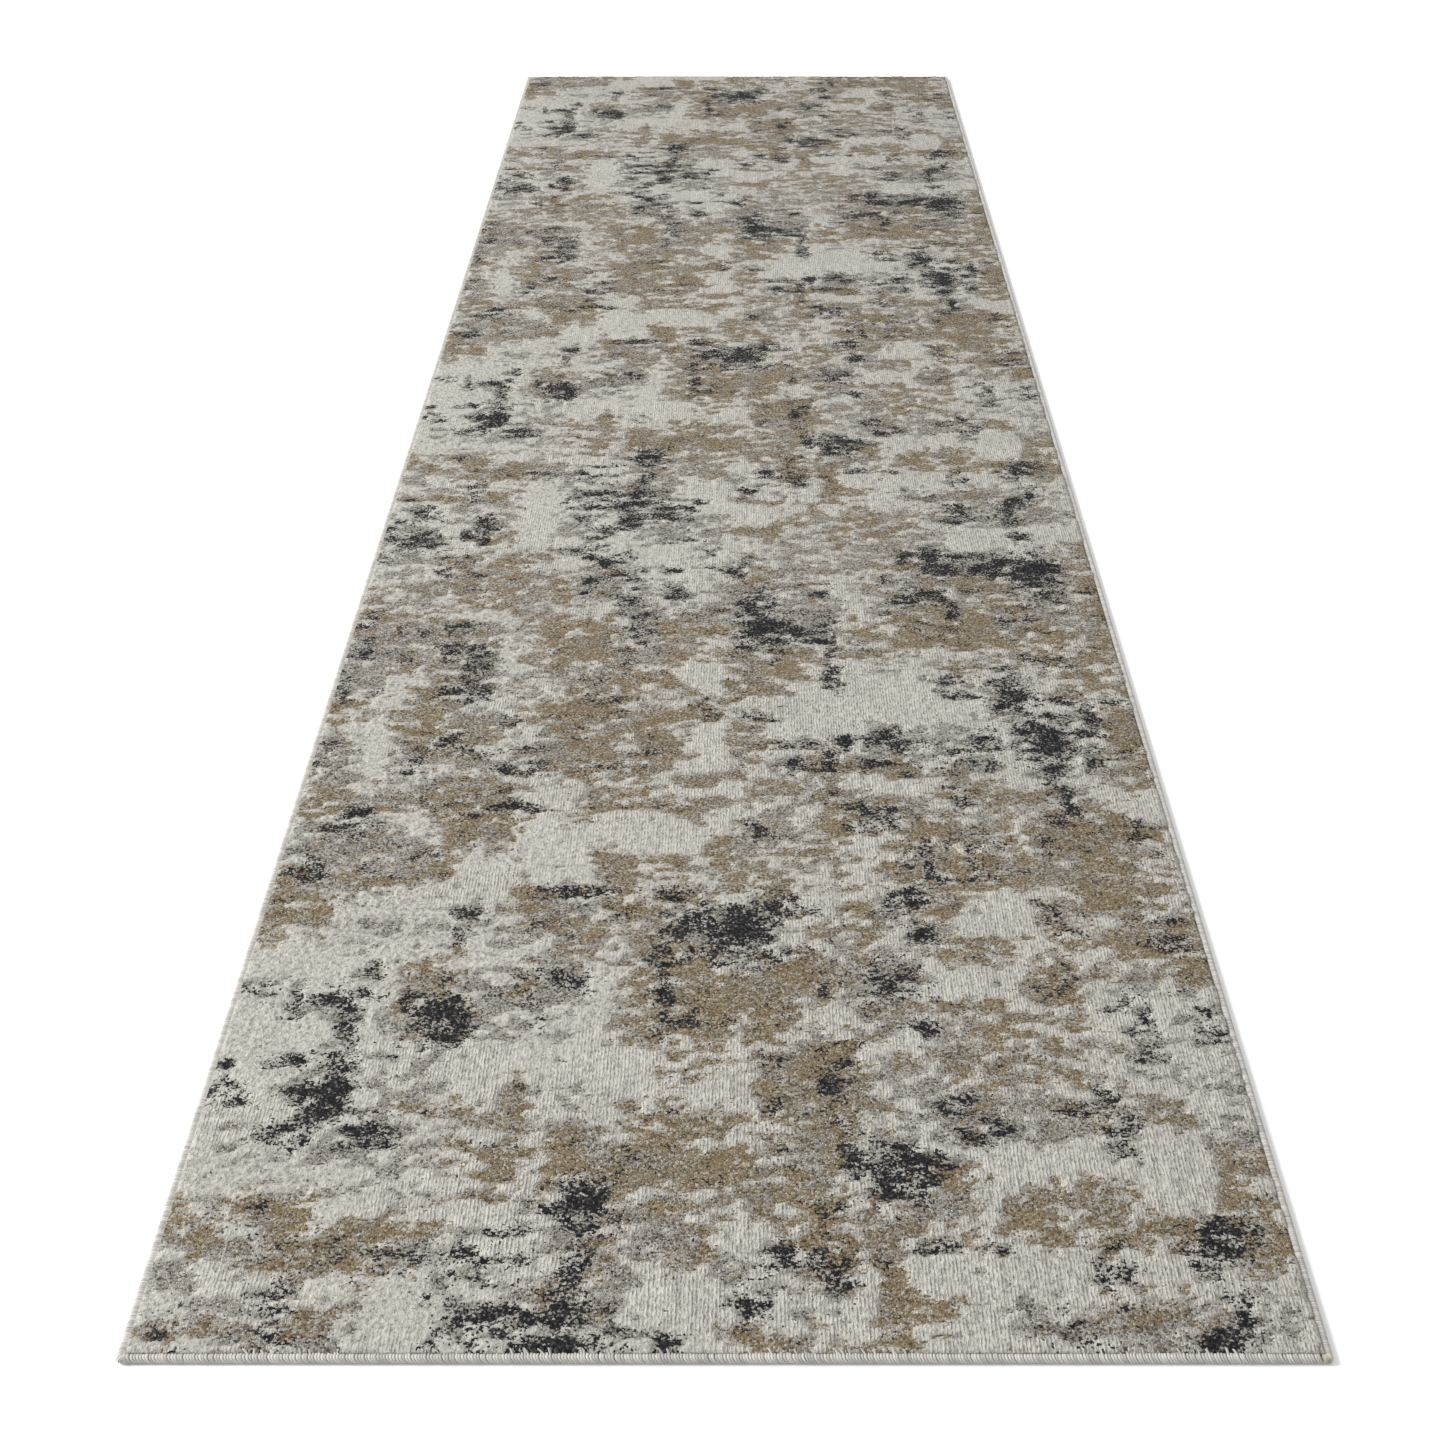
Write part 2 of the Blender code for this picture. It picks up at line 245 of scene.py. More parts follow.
design = {
    "repeat": 121.05,
    "charcoal": [
        (9.8, 25, 2.6, 6, 0.9), (8, 25.6, 2.6, 1.6, 0.9), (10.6, 22.4, 1.4, 1.4, 0.9), (8, 20.5, 3, 2, 0.6),
        (13.5, 20.3, 3, 2, 0.7), (12.5, 22, 1.6, 1.6, 0.5), (2.2, 24.8, 2.4, 2, 0.6),
        (1.5, 27.5, 1, 1, 0.6), (6.4, 28, 2.6, 0.8, 0.6), (5.7, 35, 1, 2.6, 0.9), (8.6, 35.5, 3, 1.2, 0.8),
        (9.8, 34.2, 1.1, 2.6, 0.9), (10.3, 32, 1.3, 2.6, 0.7), (11.2, 38.5, 0.9, 1.6, 0.7),
        (2, 37, 1.3, 1, 0.5), (3.2, 36.3, 0.8, 1.6, 0.5), (16.8, 33, 5, 5, 0.75), (15, 35, 2, 2, 0.6),
        (24, 35.4, 3.6, 1.6, 0.6), (25, 33.4, 1.6, 2.6, 0.7), (26.5, 38.5, 3.4, 3.4, 0.4),
        (34.7, 37, 1.2, 9, 0.85), (35.8, 32.6, 2.6, 1.2, 0.8), (53.5, 38, 3.6, 4.4, 0.6),
        (55.8, 31.8, 1.2, 2.6, 0.6), (72.8, 32.5, 1.4, 4.6, 0.6), (71.6, 34, 1.4, 1, 0.5),
        (77.8, 32, 1.6, 2.6, 0.55), (48, 25.5, 1.7, 4.6, 0.9), (49.2, 28, 1.2, 2.2, 0.7),
        (43.5, 27, 1.5, 3, 0.4), (43.5, 24, 0.9, 4, 0.5), (57.5, 23, 3, 2.2, 0.6), (58.6, 21, 3, 1.6, 0.5),
        (68.8, 24, 1.8, 2, 0.85), (70, 22.2, 2.4, 1.6, 0.7), (69, 20, 1.6, 2.4, 0.6),
        (66.8, 22.8, 1.8, 1, 0.6), (52.6, 16.8, 4.8, 5.4, 0.9), (49.3, 17.5, 1.3, 6, 0.75),
        (47, 13, 2, 1.6, 0.5), (30, 13, 3, 5, 0.75), (29.8, 8, 2, 8, 0.75), (29, 3.6, 3, 5, 0.9),
        (30, 1.3, 3.4, 1.6, 0.8), (24, 6.5, 6, 3.6, 0.3), (24, 2.6, 5, 3, 0.7), (22, 8, 2, 2, 0.4),
        (12, 9.6, 4, 2, 0.4), (17.4, 8.5, 3, 2.4, 0.55), (9.3, 5.5, 2.2, 1.6, 0.8), (10.6, 3, 2, 2, 0.5),
        (10.5, 1.5, 4, 1.2, 0.55), (2.2, 2.2, 1, 0.9, 0.8), (43, 6.2, 3, 2.6, 0.5), (41.8, 4, 2, 1.4, 0.7),
        (44, 9, 1.4, 2, 0.7), (47.5, 6.5, 1.6, 2, 0.6), (75, 10, 4, 4, 0.85), (73.4, 10.6, 2.4, 1.6, 0.7),
        (74.8, 3.6, 1.4, 3.6, 0.9), (72, 1.6, 3.4, 1, 0.7), (67, 6.8, 1.4, 1.6, 0.5), (63, 2.5, 3, 2, 0.4),
        (59.4, 9.2, 1, 0.7, 0.6), (54, 9.6, 2.4, 0.7, 0.6), (36, 1.4, 2, 0.8, 0.5),
        (24.5, 10.9, 3, 0.5, 0.6), (27.6, 13, 1.4, 0.8, 0.6), (41.4, 44.2, 4.4, 6, 0.92),
        (38.6, 42.6, 3.4, 4, 0.75), (37, 45.4, 3.4, 2.6, 0.6), (44.2, 48.6, 3, 1.8, 0.8),
        (43.4, 46.8, 5, 1.2, 0.7), (40, 40.6, 9, 2, 0.6), (27, 49.2, 5, 1.4, 0.6), (24, 48.8, 2, 2, 0.6),
        (25.5, 44, 3, 2, 0.55), (35, 48.6, 2, 2, 0.7), (35.5, 45, 2, 4, 0.5), (17.6, 46.4, 1.4, 1.8, 0.6),
        (17.7, 43.4, 1.1, 2, 0.6), (54.5, 46.4, 1.6, 3.6, 0.75), (55.5, 43.8, 2, 3, 0.75),
        (55.8, 48.6, 2, 3, 0.7), (57.4, 53, 1.1, 5, 0.75), (55.4, 54, 1, 2, 0.5),
        (62.5, 52.4, 2.2, 2.6, 0.55), (53, 60, 5, 3.4, 0.6), (71.5, 58.5, 4, 4, 0.35),
        (77.5, 45.6, 3, 1, 0.8), (76.5, 42.6, 3.2, 1.6, 0.6), (74.5, 45.4, 1.4, 1, 0.6),
        (67.5, 46.4, 1.3, 2, 0.6), (42.4, 57.4, 1.2, 1.6, 0.8), (42, 59, 1, 1, 0.6), (5.4, 58, 3, 2.4, 0.5),
        (6.5, 60.8, 2, 1.4, 0.7), (8, 58.6, 1.4, 2, 0.5), (4.5, 54.5, 2.6, 1.4, 0.6), (3, 52, 3.6, 2, 0.65),
        (19, 62, 3.8, 0.9, 0.7), (16.4, 61, 1.6, 1, 0.6), (20.5, 71, 2, 1.2, 0.8), (20.6, 68, 3.6, 2, 0.6),
        (17.6, 70.2, 2, 1, 0.7), (12, 71, 4.2, 1.4, 0.6), (10.5, 68.5, 1.3, 3, 0.6),
        (27.4, 68.6, 0.9, 1.5, 0.8), (13, 73.6, 1.6, 2, 0.6), (18, 76, 1.6, 1.6, 0.6),
        (13.5, 80.5, 4, 1.8, 0.5), (27.5, 80.4, 3, 1, 0.5), (37.8, 77.4, 1.7, 1.6, 0.5),
        (42, 77, 2.6, 1.4, 0.6), (45.5, 72, 3.6, 1.2, 0.6), (51, 72, 1.1, 2, 0.7), (55, 72.8, 4, 3, 0.8),
        (49, 69.4, 1.6, 3.6, 0.8), (46.5, 68.4, 2.6, 1.4, 0.7), (53, 68.6, 4.4, 1.2, 0.7),
        (57.6, 72, 3, 1.3, 0.6), (63.8, 73, 2.6, 1.8, 0.8), (64, 71.2, 2, 0.8, 0.8),
        (61.2, 69, 2.4, 3, 0.5), (61.3, 63, 1.6, 3, 0.6), (64.2, 68.8, 1, 2.2, 0.7),
        (70, 72.8, 4.6, 5, 0.95), (74, 73.8, 3.2, 1.6, 0.9), (70, 67.5, 2.2, 6, 0.8),
        (70.7, 62.4, 0.9, 3, 0.7), (68.4, 69.6, 1.6, 2.2, 0.8), (68, 80.4, 4.2, 4.4, 0.95),
        (72, 79, 4, 1, 0.9), (71.5, 76.4, 2.2, 2, 0.85), (74.9, 77.6, 1.4, 3.8, 0.9), (73, 79.6, 2, 1, 0.8),
        (68.6, 75.4, 1.8, 1, 0.8), (74.3, 69.5, 1.2, 2.4, 0.7), (77.5, 79.5, 1.4, 1.2, 0.6),
        (62.5, 80.6, 2.4, 1, 0.5), (50.1, 87, 1.1, 5, 0.7), (50.2, 84, 1.6, 3, 0.6),
        (50.3, 95, 0.8, 12, 0.5), (44, 93, 5.6, 6, 0.88), (42, 97, 3.2, 3, 0.8), (43.4, 90.6, 5.4, 3, 0.7),
        (48.6, 91, 2, 1.2, 0.7), (43, 100, 3, 2, 0.5), (49.4, 100.4, 1.8, 2, 0.6), (30.5, 94.4, 3, 4, 0.5),
        (30.5, 88, 2.6, 5, 0.4), (36.4, 95.4, 2.2, 3, 0.4), (12, 93, 3, 3, 0.45), (13, 88.6, 4, 2.6, 0.55),
        (11, 90.2, 3, 1.4, 0.6), (14.5, 84.6, 2.6, 6, 0.5), (12.5, 81, 3, 2, 0.5), (2.2, 92.4, 1.4, 5, 0.5),
        (2.6, 88, 1, 2, 0.5), (1.2, 82.5, 1.4, 4, 0.5), (27, 102, 4.6, 6, 0.42), (24.6, 103, 1.4, 4, 0.6),
        (33.6, 101.4, 2.2, 2, 0.6), (33.5, 106.2, 1.8, 1, 0.7), (40.2, 106, 1.7, 2.2, 0.85),
        (38.6, 106.4, 2, 0.8, 0.6), (41.3, 108.5, 1.3, 1.2, 0.8), (37.5, 110.2, 1, 1.2, 0.8),
        (23.5, 110.6, 4, 2, 0.75), (26.4, 108, 2.2, 2, 0.75), (28.2, 109, 1.4, 1.4, 0.7),
        (24.8, 109.2, 1.8, 1.8, 0.8), (28, 118.4, 2.6, 4.2, 0.85), (26, 115.6, 3.2, 1.4, 0.8),
        (24.2, 113.6, 2, 1, 0.7), (23.4, 117.4, 1.3, 2.2, 0.75), (26.4, 121, 6, 1.4, 0.8),
        (32.6, 119, 3.2, 2.4, 0.7), (33.5, 121, 3.4, 1.6, 0.75), (11.6, 117, 2.6, 3.8, 0.75),
        (10, 114.4, 1, 3, 0.8), (12.2, 113, 1, 2, 0.6), (5, 119, 4.2, 3.4, 0.6),
        (5.6, 113.5, 4.8, 4.6, 0.7), (1.4, 114.6, 1.3, 3, 0.7), (2.2, 117.4, 1, 2, 0.6),
        (1.5, 109.3, 2.6, 1.6, 0.6), (6, 110, 4.4, 0.9, 0.6), (9.5, 107, 3, 3.6, 0.5),
        (10.5, 105.2, 3, 1.4, 0.6), (62, 109, 2.6, 3, 0.85), (63, 106.4, 5, 3, 0.8),
        (72.6, 105, 5.6, 9, 0.95), (67.4, 106, 5, 3, 0.75), (68, 109, 2, 2, 0.7),
        (65, 109.5, 3.4, 0.8, 0.7), (59.5, 109, 1.6, 2, 0.6), (59.6, 107.4, 3, 2, 0.5),
        (60, 100.6, 5, 3, 0.6), (57.8, 99.6, 2, 2, 0.5), (63.5, 97.6, 1.3, 3, 0.6), (66, 101.4, 3, 3, 0.45),
        (69, 96.4, 1.8, 2.2, 0.6), (72.5, 97.5, 3, 6, 0.4), (59.5, 94, 1.8, 1.4, 0.55),
        (71.4, 120.6, 2.6, 3, 0.75), (71.5, 118, 2, 2, 0.7), (67, 119, 3.6, 3, 0.5),
        (65.5, 117.6, 2, 2.6, 0.6), (71.8, 113.6, 2.6, 1.2, 0.6), (73, 114.8, 1.4, 0.5, 0.6),
        (72, 87.6, 3, 1, 0.5), (67.5, 84.4, 3, 2, 0.5), (62, 83.6, 3, 1, 0.4), (36, 113, 2, 1.4, 0.5),
        (78, 119.5, 1.4, 0.9, 0.6), (34, 114.6, 4, 3, 0.3),
    ],
    "taupe": [
        (16, 37.5, 4, 5, 0.8), (14.5, 39, 2, 2, 0.7), (40.5, 35, 15, 8, 0.95), (37, 39, 5, 5, 0.9),
        (47.5, 39, 7, 7, 0.85), (47, 26, 8, 13, 0.85), (44.5, 20.5, 6, 3, 0.6), (62, 28.6, 12, 3, 0.8),
        (63, 24.5, 10, 5, 0.5), (66.4, 37, 4, 9, 0.75), (62, 40.5, 5, 2.4, 0.6), (76, 39, 9, 4, 0.7),
        (37, 27.5, 5, 3, 0.6), (34.5, 22, 5, 3, 0.6), (38.5, 21.4, 4, 3, 0.6), (23.8, 23.6, 1.8, 4.4, 0.8),
        (18, 22.6, 4, 1.1, 0.7), (22, 21.6, 4, 1.4, 0.7), (22.5, 18.6, 5, 2.6, 0.85),
        (23.4, 16.2, 3.6, 1.4, 0.8), (22.4, 14.4, 3, 1.2, 0.8), (36, 17.4, 11, 5, 0.95),
        (28.5, 18, 3, 5, 0.8), (35, 11.6, 10, 6, 0.5), (45, 13.5, 6, 4, 0.7), (47, 9, 5, 5, 0.7),
        (51.3, 7.5, 2.2, 11, 0.9), (55.5, 14.6, 5, 5, 0.6), (53, 12, 4, 3, 0.7), (7.5, 13, 4, 2, 0.85),
        (14, 11, 8, 2, 0.7), (6, 10.2, 6, 3, 0.6), (12, 8.4, 8, 3, 0.6), (4.4, 1.9, 5, 1.3, 0.8),
        (8.6, 1.7, 5, 1.7, 0.8), (13, 3, 3, 1.4, 0.6), (61.8, 12.5, 4, 3.4, 0.85),
        (66.2, 12.6, 4.6, 5, 0.9), (71, 11, 4, 2, 0.7), (64.5, 9.8, 10, 1.8, 0.7), (77.8, 10, 4, 6, 0.75),
        (77.5, 16, 3, 5, 0.6), (68, 4, 5, 3, 0.6), (71, 2, 6, 2, 0.7), (54, 4, 3, 1.6, 0.5),
        (43, 1.6, 4.4, 2, 0.7), (72.5, 22.4, 3, 2.6, 0.7), (59, 34.4, 9, 1.4, 0.7), (61, 32.8, 7, 1, 0.6),
        (61, 31.4, 6, 1, 0.6), (0.8, 12, 1.4, 3, 0.6), (45.6, 17, 4, 3, 0.5), (14, 62.6, 11, 5, 0.7),
        (17.8, 58.4, 6, 7, 0.95), (11.5, 53, 9, 5, 0.6), (30, 52.8, 4.4, 4.4, 0.85), (34.5, 53, 3, 2, 0.7),
        (26.5, 73, 6, 6, 0.85), (29, 68.4, 7, 6, 0.75), (33, 71, 6, 6, 0.75), (29.5, 63, 6, 5, 0.8),
        (35, 62, 7, 2.6, 0.85), (31, 78.4, 18, 5, 0.8), (24.5, 77.4, 6, 4, 0.8), (37, 66, 6, 2, 0.5),
        (41.5, 71, 3, 7, 0.7), (42, 74.6, 2.4, 3, 0.6), (43.5, 54.4, 8, 7, 0.5), (49.4, 61.6, 2.6, 16, 0.8),
        (44, 64.4, 4.4, 3, 0.6), (53, 68, 9, 2, 0.7), (55.6, 67.2, 3, 2, 0.8), (58.4, 57.6, 8, 5, 0.9),
        (59.5, 52, 9, 5, 0.6), (72, 57.4, 13, 7, 0.95), (71, 53, 11, 6, 0.7), (76.4, 57, 6, 6, 0.85),
        (72.5, 48.4, 9, 4, 0.85), (70, 44, 6, 5, 0.7), (76, 43.4, 6, 4, 0.7), (63.5, 63.3, 9, 1.8, 0.6),
        (62, 66, 3.4, 3, 0.6), (78, 72, 3.6, 14, 0.85), (76.2, 67, 2, 3, 0.8), (2.5, 63, 4.4, 5, 0.6),
        (3, 46.4, 5, 6, 0.6), (2, 50.4, 3, 4, 0.6), (3, 78.6, 4, 4, 0.6), (10, 79, 6, 6, 0.75),
        (13.5, 73.4, 8, 6, 0.6), (18, 66.8, 6, 2, 0.6), (48.5, 42, 7, 5, 0.6), (51.5, 45.6, 4, 4, 0.6),
        (46.5, 49.6, 9, 1.4, 0.7), (38, 48.6, 9, 1.6, 0.7), (32, 48, 4, 5, 0.75), (24.5, 47.4, 6, 5, 0.6),
        (27.4, 43.4, 5, 5, 0.6), (57, 48, 4, 4, 0.6), (60, 41.6, 8, 2, 0.6), (33, 42.5, 5, 4, 0.5),
        (16.6, 101.4, 12, 9, 0.6), (6, 97, 11, 11, 0.5), (6, 90, 9, 9, 0.4), (14, 107.4, 11, 5, 0.6),
        (18, 108, 5, 4, 0.7), (13.5, 113.4, 4, 3, 0.7), (24, 91.6, 8, 8, 0.85), (36, 91.6, 8, 6, 0.75),
        (28.6, 85.6, 17, 9, 0.6), (44, 86.6, 9, 6, 0.75), (42, 82, 6, 6, 0.6), (46.4, 107.6, 11, 9, 0.4),
        (44, 105, 4, 3, 0.6), (54, 117.6, 13, 7, 0.5), (48, 118.6, 4, 4, 0.4), (43, 115.2, 5, 2.6, 0.75),
        (57, 108, 6, 6, 0.5), (67, 103.4, 5, 5, 0.6), (62, 92.6, 17, 6, 0.75), (66, 97, 12, 5, 0.8),
        (74, 93, 6, 6, 0.7), (55, 89.4, 11, 3, 0.6), (65, 87.6, 9, 4, 0.6), (75.4, 87, 9, 7, 0.7),
        (78.4, 98, 3.4, 24, 0.85), (76, 82, 7, 3, 0.6), (11.5, 118.6, 5, 5, 0.3), (57, 101, 7, 5, 0.4),
    ],
    "grey": [
        (25.5, 37.4, 7, 7, 0.7), (23.6, 33.6, 7, 5, 0.5), (53, 36, 6.6, 9, 0.8), (33, 34, 4, 5, 0.5),
        (58.5, 21.6, 6, 4, 0.75), (52, 24, 8, 7, 0.5), (64, 21.4, 6, 4, 0.6), (45, 17, 5, 6, 0.6),
        (31.4, 17.4, 3.4, 4, 0.7), (34, 11, 8, 5, 0.9), (2, 10, 5, 6, 0.5), (24, 6, 8, 7, 0.5),
        (43.4, 6, 7, 6, 0.45), (64, 2.6, 8, 3.4, 0.6), (75, 38, 7, 4, 0.7), (77.5, 32, 4, 5, 0.5),
        (77.6, 19.6, 3.4, 7, 0.45), (72, 28, 6, 3, 0.35), (13, 17, 11, 5, 0.4), (27, 21, 4, 6, 0.5),
        (6, 18, 7, 4, 0.35), (15.5, 26, 4, 5, 0.55), (55, 15, 6, 6, 0.6), (11, 9.4, 14, 4, 0.5),
        (30, 7, 6, 12, 0.7), (73, 2.6, 8, 4, 0.5), (59, 26, 8, 8, 0.4), (17, 34, 7, 7, 0.6),
        (10, 3, 8, 4, 0.4), (76, 26, 5, 7, 0.35), (14, 64, 12, 5, 0.8), (24, 70, 10, 6, 0.7),
        (11, 72.6, 5, 7, 0.7), (20, 71, 11, 6, 0.6), (16, 44.4, 12, 5, 0.3), (10, 46.6, 9, 7, 0.3),
        (2, 70, 5, 6, 0.8), (3.4, 67.6, 3, 3, 0.7), (6, 56.4, 9, 7, 0.75), (11.4, 53.4, 9, 6, 0.8),
        (36, 43, 8, 8, 0.6), (26, 46, 8, 8, 0.6), (57, 50.4, 6, 9, 0.6), (63, 55, 6, 9, 0.6),
        (54, 61.4, 9, 4, 0.7), (72, 58, 9, 6, 0.6), (62, 67, 5, 9, 0.6), (66, 63.4, 8, 3, 0.5),
        (45, 57, 7, 7, 0.55), (47.5, 67.6, 7, 4, 0.55), (59, 71.6, 8, 5, 0.55), (72.5, 68, 5, 7, 0.55),
        (38, 53, 10, 2, 0.4), (5, 52, 8, 4, 0.5), (68, 53, 8, 6, 0.5), (55, 44.6, 6, 7, 0.5),
        (75, 45, 8, 5, 0.4), (30, 75, 8, 3, 0.4), (16, 77, 6, 5, 0.5), (5, 90.4, 11, 10, 0.8),
        (12, 90, 9, 9, 0.8), (3, 83.4, 5, 7, 0.6), (14, 84, 6, 9, 0.75), (27, 102, 8, 9, 0.7),
        (23, 98.6, 6, 6, 0.5), (31.4, 95.4, 8, 6, 0.65), (31, 88, 6, 9, 0.75), (37, 96.4, 8, 4, 0.75),
        (48, 97.4, 6, 9, 0.75), (44.4, 101, 10, 5, 0.6), (43, 89, 7, 5, 0.75), (61, 103, 11, 11, 0.7),
        (71, 98, 10, 9, 0.75), (60, 96, 9, 6, 0.6), (55, 113, 15, 7, 0.5), (35, 115.4, 9, 6, 0.55),
        (24, 118, 7, 7, 0.5), (12, 119, 5, 6, 0.6), (5, 116, 10, 10, 0.5), (71, 119.4, 12, 6, 0.6),
        (63, 119.6, 7, 4, 0.6), (77.4, 107, 5, 7, 0.6), (4, 109.4, 9, 4, 0.55), (47, 108, 8, 5, 0.5),
        (26, 84, 12, 6, 0.5), (66, 84.6, 12, 4, 0.4), (10, 102, 16, 8, 0.5), (62, 88, 14, 5, 0.4),
        (54, 108, 7, 6, 0.5),
    ],
    "pale": [
        (10, 20, 20, 14, 0.35), (25, 12, 8, 8, 0.3), (5, 40, 10, 10, 0.2), (10, 47, 18, 8, 0.45),
        (62, 46, 10, 8, 0.3), (33, 57, 6, 8, 0.2), (24, 57, 6, 6, 0.3), (72, 17, 10, 6, 0.3),
        (70, 26, 10, 8, 0.4), (6, 76, 8, 14, 0.3), (24, 106, 8, 6, 0.4), (20, 96, 10, 12, 0.5),
        (48, 113, 10, 8, 0.5), (8, 84, 12, 8, 0.4), (57, 83, 12, 6, 0.3), (36, 80, 20, 8, 0.2),
        (5, 5, 16, 8, 0.35), (45, 2, 10, 5, 0.3), (77, 24, 6, 12, 0.4), (56, 28, 8, 8, 0.35),
    ],
}

raggedEdge = {
    # (cell across, cell along, amount), in centimetres
    "sizes": [(3.6, 2.2, 0.36), (1.7, 1.0, 0.52), (0.9, 0.55, 0.72)],
    "wander": [(4.0, 3.0, 0.35), (1.3, 0.9, 0.35)],
    "wanderAlong": 0.7,     # of the wander across
    "islands": [(2.3, 1.1, 0.40), (1.1, 0.6, 0.55)],     # where the cream ground breaks through
    "islandsInCharcoal": 0.6,
    "charcoalLoss": 0.14,
    "otherLoss": 0.06,
    "reach": 3.0,           # how far outside a patch still counts
    "outside": -2.0,
    "palest": -0.45,
    "half": 0.55,           # a patch this solid shows on half of its area
    "strength": 2.3,
    "squareness": 3.2,
    "growth": 0.4,          # wide patches have deeper middles
    "slope": 0.35,          # how gently the raised cream falls to the cut pile
}

flecks = {
    # coloured areas carry a few flecks of each other's yarn
    "blur": 0.3,
    "charcoalOnGrey": 1.4,
    "charcoalOnTaupe": 1.2,
    "taupeOnGrey": 1.6,
    "greyRoundCharcoal": 0.6,
    "greyInset": 0.05,
}

lattice = {
    # of random values, in centimetres
    "width": 100.0,         # more than the rug's
    "margin": 10.0,         # beyond its left side
}

crepeAreas = {
    # ribbed crepe towards the right side, nubby crepe towards the left, in centimetres
    "cell": (9.0, 7.0),
    "start": 18.0,
    "width": 30.0,
    "blur": (-0.3, 0.5),
}


def smoothStep(values, low, high):
    share = np.clip((values - low) / (high - low), 0.0, 1.0)
    return share * share * (3.0 - 2.0 * share)


def grain(across, along, cellAcross, cellAlong, seed):
    # smooth random hills from -1 to 1 on a lattice that closes on itself at the end of each repeat
    rows = max(1, round(design["repeat"] / cellAlong))
    columns = math.ceil(lattice["width"] / cellAcross)
    hills = np.random.default_rng(seed).random((rows, columns)) * 2.0 - 1.0
    u = (across + lattice["margin"]) / cellAcross
    v = along / design["repeat"] * rows
    i = np.floor(u).astype(int)
    j = np.floor(v).astype(int)
    fu = smoothStep(u - i, 0.0, 1.0)
    fv = smoothStep(v - j, 0.0, 1.0)
    left, right = i % columns, (i + 1) % columns
    near, far = j % rows, (j + 1) % rows
    low = hills[near, left] * (1 - fu) + hills[near, right] * fu
    high = hills[far, left] * (1 - fu) + hills[far, right] * fu
    return low * (1 - fv) + high * fv


def patchField(kind, across, along, seed):
    # above zero where this yarn shows, below zero where it does not
    repeat = design["repeat"]
    x, y = across.copy(), along.copy()
    for n, (cellAcross, cellAlong, amount) in enumerate(raggedEdge["wander"]):
        x += amount * grain(across, along, cellAcross, cellAlong, seed * 100 + 2 * n)
        step = amount * raggedEdge["wanderAlong"]
        y += step * grain(across, along, cellAcross, cellAlong, seed * 100 + 2 * n + 1)
    field = np.full_like(across, raggedEdge["outside"])
    for patchX, patchY, width, length, solid in design[kind]:
        dy = np.abs((y - patchY + repeat / 2) % repeat - repeat / 2)
        dx = np.abs(x - patchX)
        near = (dx < width / 2 + raggedEdge["reach"]) & (dy < length / 2 + raggedEdge["reach"])
        power = raggedEdge["squareness"]
        radius = ((dx[near] / (width / 2)) ** power + (dy[near] / (length / 2)) ** power) ** (1 / power)
        level = (1.0 - radius) * (min(width, length) / 2) ** raggedEdge["growth"]
        level = np.minimum(level, (solid - raggedEdge["half"]) * raggedEdge["strength"])
        field[near] = np.maximum(field[near], level)
    return field


def roughened(field, across, along, seed):
    rough = field.copy()
    for n, (cellAcross, cellAlong, amount) in enumerate(raggedEdge["sizes"]):
        rough += amount * grain(across, along, cellAcross, cellAlong, seed * 10 + n)
    return rough


def designAt(x, y):
    # the yarn fields at points of the rug, in metres
    across = (x - rugLow.x) * centimetres
    along = ((y - rugLow.y) * centimetres) % design["repeat"]
    charcoal = patchField("charcoal", across, along, 1)
    taupe = patchField("taupe", across, along, 2)
    grey = patchField("grey", across, along, 3)
    pale = np.maximum(patchField("pale", across, along, 4), raggedEdge["palest"])
    inGrey = smoothStep(grey, -flecks["blur"], flecks["blur"])
    inTaupe = smoothStep(taupe, -flecks["blur"], flecks["blur"])
    least = raggedEdge["outside"] + flecks["charcoalOnGrey"] * inGrey * (1 - inTaupe)
    charcoal = np.maximum(charcoal, least + flecks["charcoalOnTaupe"] * inTaupe)
    taupe = np.maximum(taupe, raggedEdge["outside"] + flecks["taupeOnGrey"] * inGrey)
    grey = np.maximum(grey, flecks["greyRoundCharcoal"] * charcoal - flecks["greyInset"])
    ground = np.zeros_like(across)
    for n, (cellAcross, cellAlong, amount) in enumerate(raggedEdge["islands"]):
        ground += amount * grain(across, along, cellAcross, cellAlong, 61 + n)
    charcoal = charcoal - raggedEdge["islandsInCharcoal"] * ground - raggedEdge["charcoalLoss"]
    charcoal = roughened(charcoal, across, along, 1)
    taupe = roughened(taupe - ground - raggedEdge["otherLoss"], across, along, 2)
    grey = roughened(grey - ground - raggedEdge["otherLoss"], across, along, 3)
    coloured = np.maximum(np.maximum(charcoal, taupe), grey)
    raised = smoothStep(-coloured, 0.0, raggedEdge["slope"])
    ribbed = grain(across, along, *crepeAreas["cell"], 71)
    ribbed = smoothStep(ribbed + (across - crepeAreas["start"]) / crepeAreas["width"], *crepeAreas["blur"])
    return charcoal, taupe, grey, raised, ribbed, pale


# ---- pile

pile = {
    "spacing": 0.003,       # between points of the surface
    "strips": 3,
    "roll": 0.0022,         # the rounded top edge
    "bush": 0.0015,         # how far its tufts lean out over the serging
    "rollSteps": 4,
    "cutHeight": 0.0069,    # top of the cut coloured pile above the floor
    "raisedBy": 0.0010,     # cream patches above it
    "nubs": 0.00026,
    "nubCells": [(0.7, 0.6, 0.6), (1.6, 1.3, 0.4)],     # across and along in centimetres, and amount
    "nubsOnRibs": 0.5,
    "ribs": 0.00030,
    "ribCell": (0.62, 3.2),
    "cutRelief": 0.35,      # relief left on the cut pile
    "leanLength": 0.5,      # share of the lean that lengthens the wall
    "smoothAngle": 50.0,
    "tolerance": 0.0001,    # within which a point counts as on the wall
}


